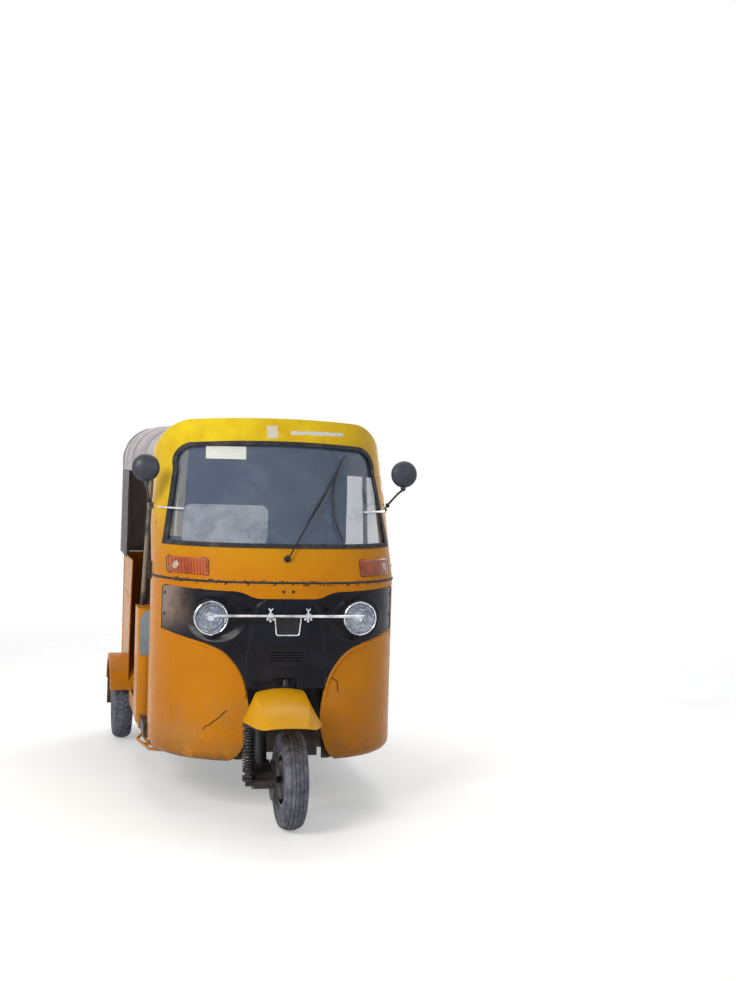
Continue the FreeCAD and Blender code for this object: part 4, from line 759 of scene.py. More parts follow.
# Edge of the raised centre panel as (z, half-width), from the foot to the crown of its arch
PANEL_EDGE = ((0.55, 0.172), (0.68, 0.172), (0.74, 0.163), (0.80, 0.148),
              (0.87, 0.137), (0.90, 0.128), (0.92, 0.110), (0.932, 0.086))
LOUVRE_HALF = 0.073
LOUVRE_ZS = tuple(0.672 + number * 0.012 for number in range(4))


def panel_edge(z):
    """Half-width of the raised centre panel at this height."""
    if z <= PANEL_EDGE[0][0]:
        return PANEL_EDGE[0][1]
    for (z0, x0), (z1, x1) in zip(PANEL_EDGE, PANEL_EDGE[1:]):
        if z <= z1:
            return x0 + (x1 - x0) * (z - z0) / (z1 - z0)
    return 0.03


def fascia_relief(x, z):
    """Height of the fascia over the skin: a raised arched panel in the middle and a scoop round each lamp."""
    x = abs(x)
    edge = panel_edge(z)
    centre = 1 - smooth_step(x, edge - 0.004, edge + 0.010)
    reach = math.hypot((x - SCOOP_CENTRE[0]) / SCOOP_HALF[0], (z - SCOOP_CENTRE[1]) / SCOOP_HALF[1])
    scoop = 1 - smooth_step(reach, 0.70, 1.0)
    lip = math.exp(-((reach - 1.02) / 0.05) ** 2)
    trough = smooth_step(x, edge, edge + 0.03) * (1 - smooth_step(x, 0.26, 0.33))
    trough *= math.exp(-((z - 0.855) / 0.04) ** 2)
    below = (1 - centre) * (-0.012 * max(scoop, 0.7 * trough) + 0.0025 * lip)
    return min(below - 0.005 * (1 - centre), 0.0)


def on_fascia(x, z, proud=0.0):
    return on_skin(x, z, FASCIA_PROUD + fascia_relief(x, z) + proud)


def fascia():
    """Moulded front panel with its lamp holes, louvre slots and the notch at its foot."""
    step = 0.012
    half = []
    corners = CHEEK_ARC + FASCIA_BROW
    for (ax, az), (bx, bz) in zip(corners, corners[1:] + [(0.0, FASCIA_TOP)]):
        pieces = max(int(math.hypot(bx - ax, bz - az) / step), 1)
        half += [(ax + (bx - ax) * i / pieces, az + (bz - az) * i / pieces) for i in range(pieces)]
    half = [(x, z) for x, z in half if z > FASCIA_FOOT + 0.003]
    foot = [(x, NOTCH_TOP) for x in (0.0, 0.015, 0.030, NOTCH_HALF)]
    foot += [(NOTCH_HALF, 0.587), (NOTCH_HALF, 0.571)]
    foot += [(x, FASCIA_FOOT) for x in steps(NOTCH_HALF, FOOT_HALF, 10)]
    outline = foot + half + [(0.0, FASCIA_TOP)]
    outline = outline + [(-x, z) for x, z in reversed(outline) if x > 1e-9]
    lamps = [circle((side * LAMP_X, LAMP_Z), LAMP_HOLE) for side in (-1, 1)]
    louvres = [[(-LOUVRE_HALF, z), (LOUVRE_HALF, z), (LOUVRE_HALF, z + 0.005), (-LOUVRE_HALF, z + 0.005)]
               for z in LOUVRE_ZS]
    shell = panel(outline, lamps + louvres, 0.0065, on_fascia)
    solid_panel("fascia_shell", shell, 0.0035, ["fascia_plastic"], "body", ["front_fascia"])


def fascia_details():
    """Slats behind the louvres, end screws, collars round the lamps and the grooves that frame the panel."""
    build = Build()
    for z in LOUVRE_ZS:
        slat = ((0.006, -0.001), (-0.004, -0.008), (-0.002, -0.010), (0.008, -0.003))
        build.grid([[on_skin(x, z + rise, proud) for rise, proud in slat]
                    for x in [i * LOUVRE_HALF / 5 - LOUVRE_HALF for i in range(11)]])
        for x in (-LOUVRE_HALF - 0.001, LOUVRE_HALF + 0.001):
            build.tube([on_skin(x, z - 0.001, FASCIA_PROUD), on_skin(x, z + 0.006, FASCIA_PROUD)], 0.0018, 6)
        build.tube([on_skin(x, z + 0.0062, FASCIA_PROUD) for x in (-LOUVRE_HALF, -0.04, 0, 0.04, LOUVRE_HALF)],
                   0.0016, 6)
    for side in (-1, 1):
        for z in (0.938, 0.848):
            p = on_fascia(side * 0.496, z)
            outward = (0.75 * side, -0.66, 0)
            build.lathe([(0.0, 0.0085), (0.0008, 0.0082), (0.0009, 0.0055)], p, outward, 20)
            build.screw(p, outward, 0.0052)
    for side in (-1, 1):
        groove = [(panel_edge(z) - 0.003, z) for z in (0.562 + i * 0.0086 for i in range(44))]
        build.tube([on_fascia(side * x, z, -0.0002) for x, z in groove], 0.0014, 6)
        rim = circle((LAMP_X, LAMP_Z), LAMP_HOLE + 0.001, 64)
        build.tube([on_fascia(side * x, z, -0.0012) for x, z in rim], 0.0032, 8, closed=True)
    build.piece("fascia_details", ["dark_plastic"], "body")


LAMP_RING = ((0.004, 0.0731), (-0.004, 0.0729), (-0.0085, 0.0712),
             (-0.0100, 0.0688), (-0.0085, 0.0664), (0.002, 0.0652))
LENS_RADIUS = 0.0648
BOWL_DEPTH = 0.066


def headlamps():
    """Ring, faceted bowl, bulb with its shade, and a domed lens fluted on its inner side."""
    for side, name in SIDES:
        centre = Vector((side * LAMP_X, back(LAMP_FACE_BACK), LAMP_Z))
        ring = Build()
        ring.lathe(LAMP_RING, centre, (0, 1, 0), 72, closed=True)
        for rise in (-0.0705, 0.0705):
            clip = centre + Vector((0, 0, rise))
            low, high = Vector((-0.006, -0.0105, -0.0028)), Vector((0.006, -0.002, 0.0028))
            ring.block(clip + low, clip + high, 0, 0.001)
        ring.piece(f"lamp_ring_{name}", ["bright_metal"], "body")
        bowl = Build()
        profile = [(0.004, LENS_RADIUS)]
        for i in range(1, 15):
            t = i / 14
            profile.append((0.004 + BOWL_DEPTH * (1 - (1 - t) ** 2), LENS_RADIUS * (1 - t) + 0.013 * t))
        inner = [(a + 0.0015, r) for a, r in reversed(profile)]
        bowl.lathe(profile + inner, centre, (0, 1, 0), 96, closed=True)
        bowl.piece(f"lamp_bowl_{name}", ["lamp_reflector"], "body")
        bulb = Build()
        holder = [(0.068, 0.012), (0.058, 0.012), (0.056, 0.016), (0.046, 0.016), (0.044, 0.010)]
        glass = [(0.044, 0.009), (0.030, 0.010), (0.020, 0.0085), (0.014, 0.004), (0.0125, 0.0006)]
        shade = [(0.022, 0.0155), (0.010, 0.0150), (0.007, 0.0125), (0.006, 0.0006)]
        for profile, segments, slot in ((holder, 24, 0), (glass, 24, 1), (shade, 28, 0)):
            bulb.lathe(profile, centre, (0, 1, 0), segments, slot)
        for turn in (-1, 1):
            tip, root = Vector((turn * 0.014, 0.014, 0)), Vector((turn * 0.034, 0.044, 0))
            bulb.tube([centre + tip, centre + root], 0.0012, 8)
        bulb.piece(f"lamp_bulb_{name}", ["bright_metal", BULB_GLASS], "body")
        fluted_lens(f"lamp_lens_{name}", centre, ["headlamp_lenses"] if side < 0 else ())


def fluted_lens(name, centre, replaces):
    """Domed glass, smooth outside, with upright prisms moulded inside a clear middle."""
    rings, spokes = 22, 96
    verts, faces = [], []
    for inner in (False, True):
        for i in range(rings + 1):
            r = LENS_RADIUS * max(i / rings, 0.004)
            for k in range(spokes):
                angle = 2 * math.pi * k / spokes
                x, z = r * math.cos(angle), r * math.sin(angle)
                bow = -0.011 * (1 - (r / LENS_RADIUS) ** 2)
                if inner:
                    flute = abs(math.sin(x * math.pi / 0.0075)) if abs(z) < 0.052 else 0.0
                    side_block = smooth_step(abs(z + 0.004), 0.010, 0.016)
                    bow += 0.0032 - 0.0016 * flute * side_block * (1 - smooth_step(r, 0.058, 0.062))
                else:
                    bow -= 0.001
                verts.append(centre + Vector((x, bow, z)))
    layer = (rings + 1) * spokes
    for start, flip in ((0, False), (layer, True)):
        for i in range(rings):
            for k in range(spokes):
                n = (k + 1) % spokes
                near, far = start + i * spokes, start + (i + 1) * spokes
                quad = (near + k, near + n, far + n, far + k)
                faces.append(tuple(reversed(quad)) if flip else quad)
    for k in range(spokes):
        n = (k + 1) % spokes
        edge = rings * spokes
        faces.append((edge + k, edge + n, layer + edge + n, layer + edge + k))
    faces.append(tuple(range(spokes)))
    faces.append(tuple(layer + k for k in reversed(range(spokes))))
    glass = Build()
    glass.add(verts, faces)
    glass.piece(name, ["lamp_glass"], "body", replaces, sharp=50)


# Soft hood

def arch_half(half, top):
    """Right half of the hood's cross-section, from the side hem to the crown."""
    side = [(half, HOOD_SIDE_Z), (half, top - 0.235)]
    shoulder = arc((half, top - 0.22), (half - 0.048, top - 0.078), (half - 0.19, top - 0.022), 16)
    crown = arc((half - 0.19, top - 0.022), (0.0, top), (-(half - 0.19), top - 0.022), 40)[1:21]
    return side + shoulder + crown


def hood_station(distance):
    (d0, half0, top0), (d1, half1, top1) = HOOD_STATIONS
    share = min((distance - d0) / (d1 - d0), 1)
    return half0 + (half1 - half0) * share, top0 + (top1 - top0) * share


def hood_front(x, z):
    """Distance back of the screen frame's rear edge, where the hood starts."""
    x = abs(x)
    centre, side = NOSE_BACK + 0.028, skin_back(BODY_HALF - 0.045, SEAM_Z) + 0.096
    reach = side - centre
    radius = (0.52 ** 2 + reach ** 2) / (2 * reach)
    plan = centre + radius - math.sqrt(radius ** 2 - x ** 2) if x <= 0.52 else side + (x - 0.52) / 3
    return plan + (z - SEAM_Z) * TAN_SCREEN


HOOD_REAR = arc((2.263, 1.480), (2.195, 1.652), (2.015, 1.712), 24)


def hood_rear(z):
    """Distance back of the hood's rear face at this height."""
    if z <= 1.48:
        return 2.323 - 0.06 * (z - 0.97) / 0.51
    for (d0, z0), (d1, z1) in zip(HOOD_REAR, HOOD_REAR[1:]):
        if z0 <= z <= z1:
            return d0 + (d1 - d0) * (z - z0) / (z1 - z0)
    return HOOD_REAR[-1][0]


def sagged(point, distance, inward):
    """The cloth hangs a little between the hoops, pulls tight over them, and creases."""
    stops = (0.70,) + HOOP_BACKS + (2.35,)
    sag = 0.0
    for low, high in zip(stops, stops[1:]):
        if low < distance < high:
            sag = math.sin(math.pi * (distance - low) / (high - low)) ** 1.4
    crown = smooth_step(point.z, 1.50, 1.68)
    creases = noise.noise(Vector((point.x * 3.2, point.y * 9.0, point.z * 3.0))) * 0.0022
    fine = noise.noise(Vector((point.x * 14.0, point.y * 30.0, point.z * 12.0))) * 0.0008
    return point + inward * (0.0015 + sag * (0.0015 + 0.0065 * crown) + abs(creases) + abs(fine))


def hood_cloth():
    """Roof sheet with its turned-down sides, sewn along its rear edge to the back sheet."""
    lines = 84
    rows = []
    half_count = len(arch_half(HOOD_HALF, HOOD_TOP))
    for j in range(lines + 1):
        row = []
        for i in range(2 * half_count - 1):
            side = 1 if i < half_count else -1
            k = i if i < half_count else 2 * half_count - 2 - i
            distance = 1.4
            for _ in range(3):
                x, z = arch_half(*hood_station(distance))[k]
                front = hood_front(x, z) + 0.003
                distance = front + (hood_rear(z) - front) * j / lines
            x, z = arch_half(*hood_station(distance))[k]
            inward = Vector((-side * smooth_step(x, 0.25, 0.56), 0, -smooth_step(z, 1.48, 1.66))).normalized()
            row.append(sagged(Vector((side * x, back(distance), z)), distance, inward))
        rows.append(row)
    return rows


def half_width_at(z):
    """Half-width of the hood's cross-section at this height."""
    points = arch_half(HOOD_HALF, HOOD_TOP)
    if z <= points[1][1]:
        return HOOD_HALF
    for (x0, z0), (x1, z1) in zip(points, points[1:]):
        if z0 <= z <= z1 and z1 > z0:
            return x0 + (x1 - x0) * (z - z0) / (z1 - z0)
    return 0.0


WINDOW = [(-0.247, 1.02), (0.247, 1.262)]
WINDOW_ROUND = 0.05
HOOD_HEM_Z = 0.987


def rounded_rectangle(low, high, radius, count=7):
    points = []
    for cx, cz, start in ((high[0] - radius, low[1] + radius, -90), (high[0] - radius, high[1] - radius, 0),
                          (low[0] + radius, high[1] - radius, 90), (low[0] + radius, low[1] + radius, 180)):
        for i in range(count + 1):
            angle = math.radians(start + 90 * i / count)
            points.append((cx + radius * math.cos(angle), cz + radius * math.sin(angle)))
    return points


def rear_cloth_place(x, z):
    pull = 0.005 * math.sin(math.pi * min(max((z - 0.99) / 0.5, 0), 1)) * (1 - (x / 0.6) ** 2)
    folds = abs(noise.noise(Vector((x * 9.0, z * 2.2, 4.0)))) * 0.003
    return Vector((x, back(hood_rear(z) - 0.0015 - pull - folds), z))


def hood():
    rows = hood_cloth()
    build = Build()
    build.grid(rows)
    roof = build.piece("hood_roof", ["hood_fabric", LINING], "body", ["hood_canopy"], sharp=60)
    thicken(roof, 0.0025, outward=Vector((0, 0, 1)))

    outline = [(max(half_width_at(z) - 0.001, 0.004), z) for z in steps(HOOD_HEM_Z, 1.700, 48)]
    outline += [(-x, z) for x, z in reversed(outline)]
    window = rounded_rectangle(*WINDOW, WINDOW_ROUND)
    cloth = panel(outline, [window], 0.022, rear_cloth_place)
    rear = solid_panel("hood_back", cloth, 0.0025, ["hood_fabric"], "body")

    for side, name in SIDES:
        curtain = Build()
        grid = []
        for z in steps(HOOD_HEM_Z, HOOD_SIDE_Z + 0.006, 24):
            row = []
            start = 1.735 + 0.05 * smooth_step(z, 1.10, 0.99)
            for d in steps(start, hood_rear(z) - 0.004, 34):
                wander = 2.5 * noise.noise(Vector((d * 3, z * 2, side)))
                wave = 0.0028 * math.sin(d * 46 + wander) * smooth_step(z, 1.45, 1.30)
                row.append(Vector((side * (HOOD_HALF - 0.004 - wave), back(d), z)))
            grid.append(row)
        curtain.grid(grid)
        cloth = curtain.piece(f"side_curtain_{name}", [CURTAIN], "body", sharp=60)
        thicken(cloth, 0.002, outward=Vector((side, 0, 0)))

    trim = Build()
    half = len(rows[0])
    trim.tube([p + Vector((0, -0.001, 0.001)) for p in rows[0]], 0.0045, 10)
    trim.tube([p + Vector((0, -0.001, 0)) for p in rows[-1]], 0.0035, 10)
    for column in (0, half - 1):
        trim.tube([row[column] + Vector((0, 0, -0.001)) for row in rows], 0.0032, 8)
    trim.tube([rear_cloth_place(x, z) + Vector((0, 0.001, 0)) for x, z in window], 0.0035, 8, closed=True)
    trim.piece("hood_piping", [TRIM_PALE], "body", slot="hood_fabric")

    seams = Build()
    for hoop in HOOP_BACKS:
        row = min(rows, key=lambda r: abs(r[half // 2].y - back(hoop)))
        for shift in (-0.010, 0.010):
            seams.tube([p + Vector((0, shift, 0.0004)) for p in row[1:-1]], 0.0018, 6)
    proud = Vector((0, 0.0006, 0))
    for x in (-0.33, 0.33):
        for shift in (-0.008, 0.008):
            seams.tube([rear_cloth_place(x + shift, z) + proud for z in steps(1.0, 1.62, 24)], 0.0018, 6)
    seams.tube([rear_cloth_place(x, 1.006) + proud for x in steps(-0.54, 0.54, 40)], 0.0022, 6)
    for i in range(11):
        place = rear_cloth_place(-0.50 + 0.10 * i, 0.9965) + Vector((0, 0.0004, 0))
        seams.lathe([(0, 0.0065), (0.0016, 0.0060), (0.0026, 0.0042), (0.0028, 0.0004)], place, (0, 1, 0), 18, 1)
    seams.piece("hood_seams", ["hood_fabric", "steel"], "body")


def thicken(piece, thickness, outward):
    """Gives a sheet its thickness on the inner side, with the second material as its lining."""
    mesh = piece.data
    total = Vector((0, 0, 0))
    for face in mesh.polygons:
        total += face.normal * face.area
    if total.dot(outward) < 0:
        mesh.flip_normals()
    wall = piece.modifiers.new("wall", "SOLIDIFY")
    wall.thickness = thickness
    wall.offset = -1
    wall.material_offset = 1 if len(mesh.materials) > 1 else 0
    return with_modifiers(piece, 60)


# Tyres

def tread_depth(kind, across, around):
    """Depth of the tread's grooves at a place across and around the tyre."""
    half = 0.038
    if abs(across) > half:
        return 0.0
    if kind == "front":
        zigzag = 0.0035 * (2 * abs((around * 54) % 1 - 0.5) - 0.5)
        for line in (-0.024, -0.008, 0.008, 0.024):
            if abs(across - line - zigzag) < 0.0019:
                return 0.0042
        return 0.0
    lane = 0.5 if across > 0 else 0.0
    cut = ((around * 46) + lane + abs(across) * 9) % 1
    if abs(across) < 0.0022 or cut < 0.22 and abs(across) > 0.008:
        return 0.0052
    return 0.0


def tyre(name, node, centre, body, kind):
    """Tyre with its tread cut into the crown, ribs on its shoulders and a raised bead line."""
    profile = [(-0.0347, 0.1035), (-0.0352, 0.110), (-0.0397, 0.1165), (-0.0450, 0.128), (-0.0487, 0.142),
               (-0.0498, 0.158)]
    crown = arc((-0.043, 0.190), (0.0, 0.2048), (0.043, 0.190), 40)
    shoulder = arc((-0.0498, 0.158), (-0.0487, 0.176), (-0.043, 0.190), 6)[1:-1]
    profile += shoulder + crown
    profile += [(-x, r) for x, r in reversed(profile[:len(profile) - len(crown)])]
    segments = 240
    verts, faces = [], []
    for i in range(segments):
        angle = 2 * math.pi * i / segments
        for x, r in profile:
            depth = tread_depth(kind, x, i / segments)
            if 0.146 < r < 0.176 and (i % 5) < 2:
                depth += 0.0006
            out, up = (r - depth) * math.cos(angle), (r - depth) * math.sin(angle)
            verts.append((centre[0] + x, centre[1] + out, centre[2] + up))
    count = len(profile)
    for i in range(segments):
        j = (i + 1) % segments
        for k in range(count - 1):
            faces.append((i * count + k, i * count + k + 1, j * count + k + 1, j * count + k))
        faces.append((i * count + count - 1, i * count, j * count, j * count + count - 1))
    build = Build()
    build.add(verts, faces)
    build.piece(name, ["tyre"], body, [node], sharp=32)


def tyres():
    tyre("front_tread", "front_tyre", (0, back(0), TYRE_RADIUS), "front_wheel", "front")
    for side, name in reversed(SIDES):
        centre = (side * REAR_TRACK / 2, back(WHEELBASE), TYRE_RADIUS)
        tyre(f"rear_{name}_tread", f"rear_{name}_tyre", centre, f"rear_{name}_wheel", "rear")


# Seats

PAD_SHRINK = 0.008


def pad_block(name, low, high, voxel):
    """Rounded block that the cushion is blown up from."""
    mesh = bmesh.new()
    bmesh.ops.create_cube(mesh, size=1)
    for v in mesh.verts:
        for axis in range(3):
            middle, span = (low[axis] + high[axis]) / 2, high[axis] - low[axis] - 2 * PAD_SHRINK
            v.co[axis] = middle + v.co[axis] * span
    bmesh.ops.bevel(mesh, geom=mesh.edges[:], offset=0.02, segments=3, affect="EDGES", profile=0.5)
    data = bpy.data.meshes.new(name)
    mesh.to_mesh(data)
    mesh.free()
    block = bpy.data.objects.new(name, data)
    bpy.context.scene.collection.objects.link(block)
    remesh = block.modifiers.new("even", "REMESH")
    remesh.mode = "VOXEL"
    remesh.voxel_size = voxel
    return with_modifiers(block, 180)


def blow_up(block, cap, frames=20):
    """Cloth under pressure, so that faces crown and sides pull in; no point moves further than the cap."""
    rest = [v.co.copy() for v in block.data.vertices]
    cloth = block.modifiers.new("cloth", "CLOTH")
    cloth.settings.use_pressure = True
    cloth.settings.uniform_pressure_force = 4
    cloth.settings.effector_weights.gravity = 0
    cloth.settings.tension_stiffness = 12
    cloth.settings.bending_stiffness = 0.4
    cloth.point_cache.frame_start = 1
    cloth.point_cache.frame_end = frames
    for number in range(1, frames + 1):
        bpy.context.scene.frame_set(number)
    with_modifiers(block, 180)
    for v, start in zip(block.data.vertices, rest):
        move = v.co - start
        if move.length > cap:
            v.co = start + move * (cap / move.length)
    bpy.context.scene.frame_set(1)


def cushion(node, low, high, face, channels, voxel, fill):
    """A seat pad with sewn channels across its face; face is the axis and sign that people sit on."""
    block = pad_block(node + "_pad", low, high, voxel)
    blow_up(block, 0.009)
    axis, sign = face
    surface = high[axis] if sign > 0 else low[axis]
    run = (high[0] - low[0]) / channels
    for v in block.data.vertices:
        co = v.co
        depth = abs(co[axis] - surface)
        near_face = 1 - smooth_step(depth, 0.02, 0.05)
        place = ((co.x - low[0]) / run) % 1
        seam = min(place, 1 - place) * run
        edge = min(co.x - low[0], high[0] - co.x)
        groove = 0.007 * math.exp(-(seam / 0.006) ** 2) * near_face * (1 if edge > 0.03 else 0)
        wrinkle = noise.noise(co * 16) * 0.0012 + noise.noise(co * 45) * 0.0004
        co[axis] -= sign * (groove + abs(wrinkle))
        for k in range(3):
            co[k] = min(max(co[k], low[k] + 0.0004), high[k] - 0.0004)
    smooth = block.modifiers.new("fine", "SUBSURF")
    smooth.levels = smooth.render_levels = 1
    with_modifiers(block, 60)
    block.data.materials.clear()
    block.data.materials.append(MATERIALS["seat_cover"])
    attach(block, "body")
    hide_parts(node)


def seats():
    for node, face, channels, voxel, fill in (
        ("driver_cushion", (2, 1), 5, 0.008, 0.75),
        ("driver_backrest", (1, -1), 4, 0.008, 0.7),
        ("passenger_cushion", (2, 1), 9, 0.011, 0.75),
        ("passenger_backrest", (1, -1), 9, 0.011, 0.7),
    ):
        low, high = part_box(node)
        cushion(node, low, high, face, channels, voxel, fill)


# Details of the front, the rear and the cabin

def skin_normal(x, z):
    """Outward direction of the front skin."""
    across = on_skin(x + 0.004, z) - on_skin(x - 0.004, z)
    upward = on_skin(x, z + 0.004) - on_skin(x, z - 0.004)
    normal = across.cross(upward).normalized()
    return normal if normal.y < 0 else -normal


INDICATOR_LOW = (0.329, 1.026)
INDICATOR_HIGH = (0.490, 1.095)
REFLECTOR_PLACE = (0.458, 1.0605)
REFLECTOR_RADIUS = 0.0175


def indicators():
    """Ribbed lens with rounded corners on a rubber base, with a round clear reflector at its outer end."""
    outline = rounded_rectangle(INDICATOR_LOW, INDICATOR_HIGH, 0.010)
    for side, name in SIDES:
        def place(x, z):
            inset = min(x - INDICATOR_LOW[0], INDICATOR_HIGH[0] - x, z - INDICATOR_LOW[1], INDICATOR_HIGH[1] - z)
            proud = 0.0115 * smooth_step(inset, -0.005, 0.007)
            from_reflector = math.hypot(x - REFLECTOR_PLACE[0], z - REFLECTOR_PLACE[1])
            if inset > 0.006 and from_reflector > REFLECTOR_RADIUS + 0.003:
                proud += 0.0008 * math.cos(x * 2 * math.pi / 0.010)
            if abs(x - 0.420) < 0.0015 and inset > 0.004:
                proud -= 0.002
            return on_skin(side * x, z, proud)

        solid_panel(f"indicator_{name}", panel(outline, [], 0.0026, place), 0.002, ["amber_lens"], "body",
                    ["front_indicators"] if side < 0 else ())
        build = Build()
        build.tube([on_skin(side * x, z, 0.001) for x, z in outline], 0.0028, 8, closed=True)
        middle = on_skin(side * REFLECTOR_PLACE[0], REFLECTOR_PLACE[1], 0.0105)
        normal = skin_normal(side * REFLECTOR_PLACE[0], REFLECTOR_PLACE[1])
        dome = [(-0.002, REFLECTOR_RADIUS), (0.0015, REFLECTOR_RADIUS), (0.0030, 0.0155), (0.0044, 0.0100),
                (0.0050, 0.0004)]
        build.lathe(dome, middle, normal, 32, 1)
        for x in (INDICATOR_LOW[0] + 0.008, INDICATOR_HIGH[0] - 0.008):
            build.screw(on_skin(side * x, 1.0605, 0.0112), skin_normal(side * x, 1.0605), 0.0032, 0)
        build.piece(f"indicator_base_{name}", ["seal_rubber", CLEAR_LENS], "body")


SPRING_FOOT = Vector((-0.178, back(-0.041), 0.228))
SPRING_HEAD = Vector((-0.178, back(-0.021), 0.436))


def front_spring():
    """Tight coil spring between two pressed cups."""
    axis = (SPRING_HEAD - SPRING_FOOT).normalized()
    side = axis.orthogonal().normalized()
    up = axis.cross(side)
    length = (SPRING_HEAD - SPRING_FOOT).length
    turns, wire, radius = 14.5, 0.0040, 0.0228
    path = []
    for i in range(int(turns * 22) + 1):
        share = i / (turns * 22)
        along = 0.006 + (length - 0.012) * smooth_step(share, -0.25, 1.25)
        angle = 2 * math.pi * turns * share
        path.append(SPRING_FOOT + axis * along + radius * (side * math.cos(angle) + up * math.sin(angle)))
    build = Build()
    build.tube(path, wire, 8)
    lower_cup = [(0.0, 0.0265), (0.006, 0.0268), (0.006, 0.0165), (0.0, 0.0165)]
    upper_cup = [(-0.001, 0.0268), (-0.008, 0.0268), (-0.010, 0.0240), (-0.001, 0.0165)]
    build.lathe(lower_cup, SPRING_FOOT, axis, 32, closed=True)
    build.lathe(upper_cup, SPRING_HEAD, axis, 32, closed=True)
    build.piece("front_coil_spring", [SPRING_STEEL], body_of("front_spring"), ["front_spring"], "steel")


WIPER_PIVOT = (0.0, 1.098)


def wiper():
    """Wiper: domed pivot, tapered arm, clip and a long blade with its rubber strip bowed on the glass."""
    x0, z0 = WIPER_PIVOT
    build = Build()
    normal = skin_normal(x0, z0)
    seat = on_skin(x0, z0, 0.001)
    pivot = [(0, 0.0145), (0.003, 0.0142), (0.004, 0.012), (0.018, 0.0115), (0.021, 0.0095), (0.0225, 0.0005)]
    build.lathe(pivot, seat, normal, 28)
    build.lathe([(0.0225, 0.0045), (0.026, 0.0045)], seat, normal, 6)
    shares = steps(0, 1, 8)
    lower = [on_skin(x0 + 0.123 * t, z0 + 0.188 * t, 0.020 + 0.003 * math.sin(math.pi * t)) for t in shares]
    build.tube(lower, 0.0046, 8, flat=0.6)
    upper = [on_skin(0.118 + 0.140 * t, 1.278 + 0.195 * t, 0.020 - 0.003 * t) for t in shares]
    build.tube(upper, 0.0078, 8, flat=0.7)
    build.block(upper[0] - Vector((0.006, 0.004, 0.006)), upper[0] + Vector((0.006, 0.004, 0.006)), 0, 0.0015)
    blade = []
    for t in steps(0, 1, 20):
        x = 0.303 * (1 - t) ** 2 + 2 * 0.170 * t * (1 - t) + 0.258 * t * t
        blade.append(on_skin(x, 1.548 - 0.378 * t, 0.0045))
    build.tube(blade, 0.0022, 8, 1, flat=1.6)
    build.tube([p + Vector((0, -0.0035, 0)) for p in blade[1:-1]], 0.0016, 6)
    build.tube([upper[-1], blade[3] + Vector((0, -0.004, 0))], 0.0034, 8)
    build.piece("wiper_arm", ["dark_plastic", "seal_rubber"], "body", ["wiper"])


MIRROR_X = BODY_HALF + 0.042
MIRROR_Z = 1.470
MIRROR_BACK = 0.505
MIRROR_RADIUS = 0.059
CLAMP_Z = 1.300
CLAMP_BACK = 0.705


def mirrors():
    """Round mirrors: domed shell with a rolled rim, ball joint, bent stem, clamp with bolts and inner rod."""
    shell = [(-0.0164, 0.0005), (-0.0158, 0.012), (-0.0130, 0.027), (-0.0085, 0.040), (-0.0025, 0.051),
             (0.003, 0.0565), (0.007, MIRROR_RADIUS), (0.0115, MIRROR_RADIUS),
             (0.0138, 0.0575), (0.0138, 0.0005)]
    for side, name, inner_end in ((-1, "right", 0.418), (1, "left", 0.372)):
        build = Build()
        centre = Vector((side * MIRROR_X, back(MIRROR_BACK), MIRROR_Z))
        build.lathe(shell, centre, (0, 1, 0), 56)
        rim = [centre + Vector((x, 0.0105, z)) for x, z in circle((0, 0), 0.0585, 56)]
        build.tube(rim, 0.0022, 8, closed=True)
        foot = Vector((side * 0.532, back(CLAMP_BACK), CLAMP_Z))
        neck = centre + Vector((-side * 0.004, 0.002, -MIRROR_RADIUS + 0.002))
        ball_cover = [(-0.004, 0.004), (0.000, 0.0105), (0.008, 0.012), (0.016, 0.0105), (0.020, 0.0045)]
        build.lathe(ball_cover, neck, (0, 0.25, -1), 20)
        knee = foot + Vector((side * 0.020, -0.012, 0.022))
        stem = [neck + Vector((0, 0.004, -0.014)), neck.lerp(knee, 0.35) + Vector((side * 0.002, 0, 0)),
                neck.lerp(knee, 0.75), knee, foot + Vector((side * 0.010, 0, 0.004))]
        build.tube(stem, 0.0050, 10, 1)
        build.lathe([(-0.009, 0.0085), (0.009, 0.0085)], knee, (0, 1, 0.3), 16, 1)
        build.block(foot - Vector((0.014, 0.018, 0.013)), foot + Vector((0.014, 0.018, 0.013)), 0, 0.003)
        for shift in (-0.009, 0.009):
            build.bolt(foot + Vector((side * 0.014, shift, 0)), (side, 0, 0), 0.0048, 0.004, 1)
        run = 0.505 - inner_end
        inner = [foot + Vector((0, -0.010, 0))]
        inner += [on_skin(side * (0.505 - run * i / 5), CLAMP_Z - 0.002, 0.014 - 0.001 * i) for i in range(6)]
        build.tube(inner, 0.0044, 10, 2)
        build.piece(f"mirror_{name}", [MIRROR_SHELL, "black_paint", "bright_metal"], "body",
                    ["mirrors"] if side < 0 else (), "dark_plastic")


def emblem():
    """Blank badge: dark plate in a bright rounded trapezoid frame that hangs from the bar."""
    corners = [(-0.0565, 0.862), (-0.049, 0.790), (-0.041, 0.7825)]
    corners += [(-x, z) for x, z in reversed(corners)]
    path = (corners[:1] + arc(corners[1], (-0.0466, 0.7848), corners[2], 5)
            + arc(corners[3], (0.0466, 0.7848), corners[4], 5) + corners[5:])
    build = Build()
    build.tube([on_skin(x, z, 0.0085) for x, z in path], 0.0036, 8, 0, flat=0.8)
    outline = [(-0.0545, 0.860)] + path[1:-1] + [(0.0545, 0.860)]
    made, faces = panel(outline, [], 0.012, lambda x, z: on_skin(x, z, 0.0065))
    build.add(made, faces, 1)
    build.piece("emblem_badge", ["bright_metal", "dark_plastic"], "body", ["emblem_frame"])


BAR_Z = 0.866
BAR_BACK = 0.112
CLAMP_X = 0.08


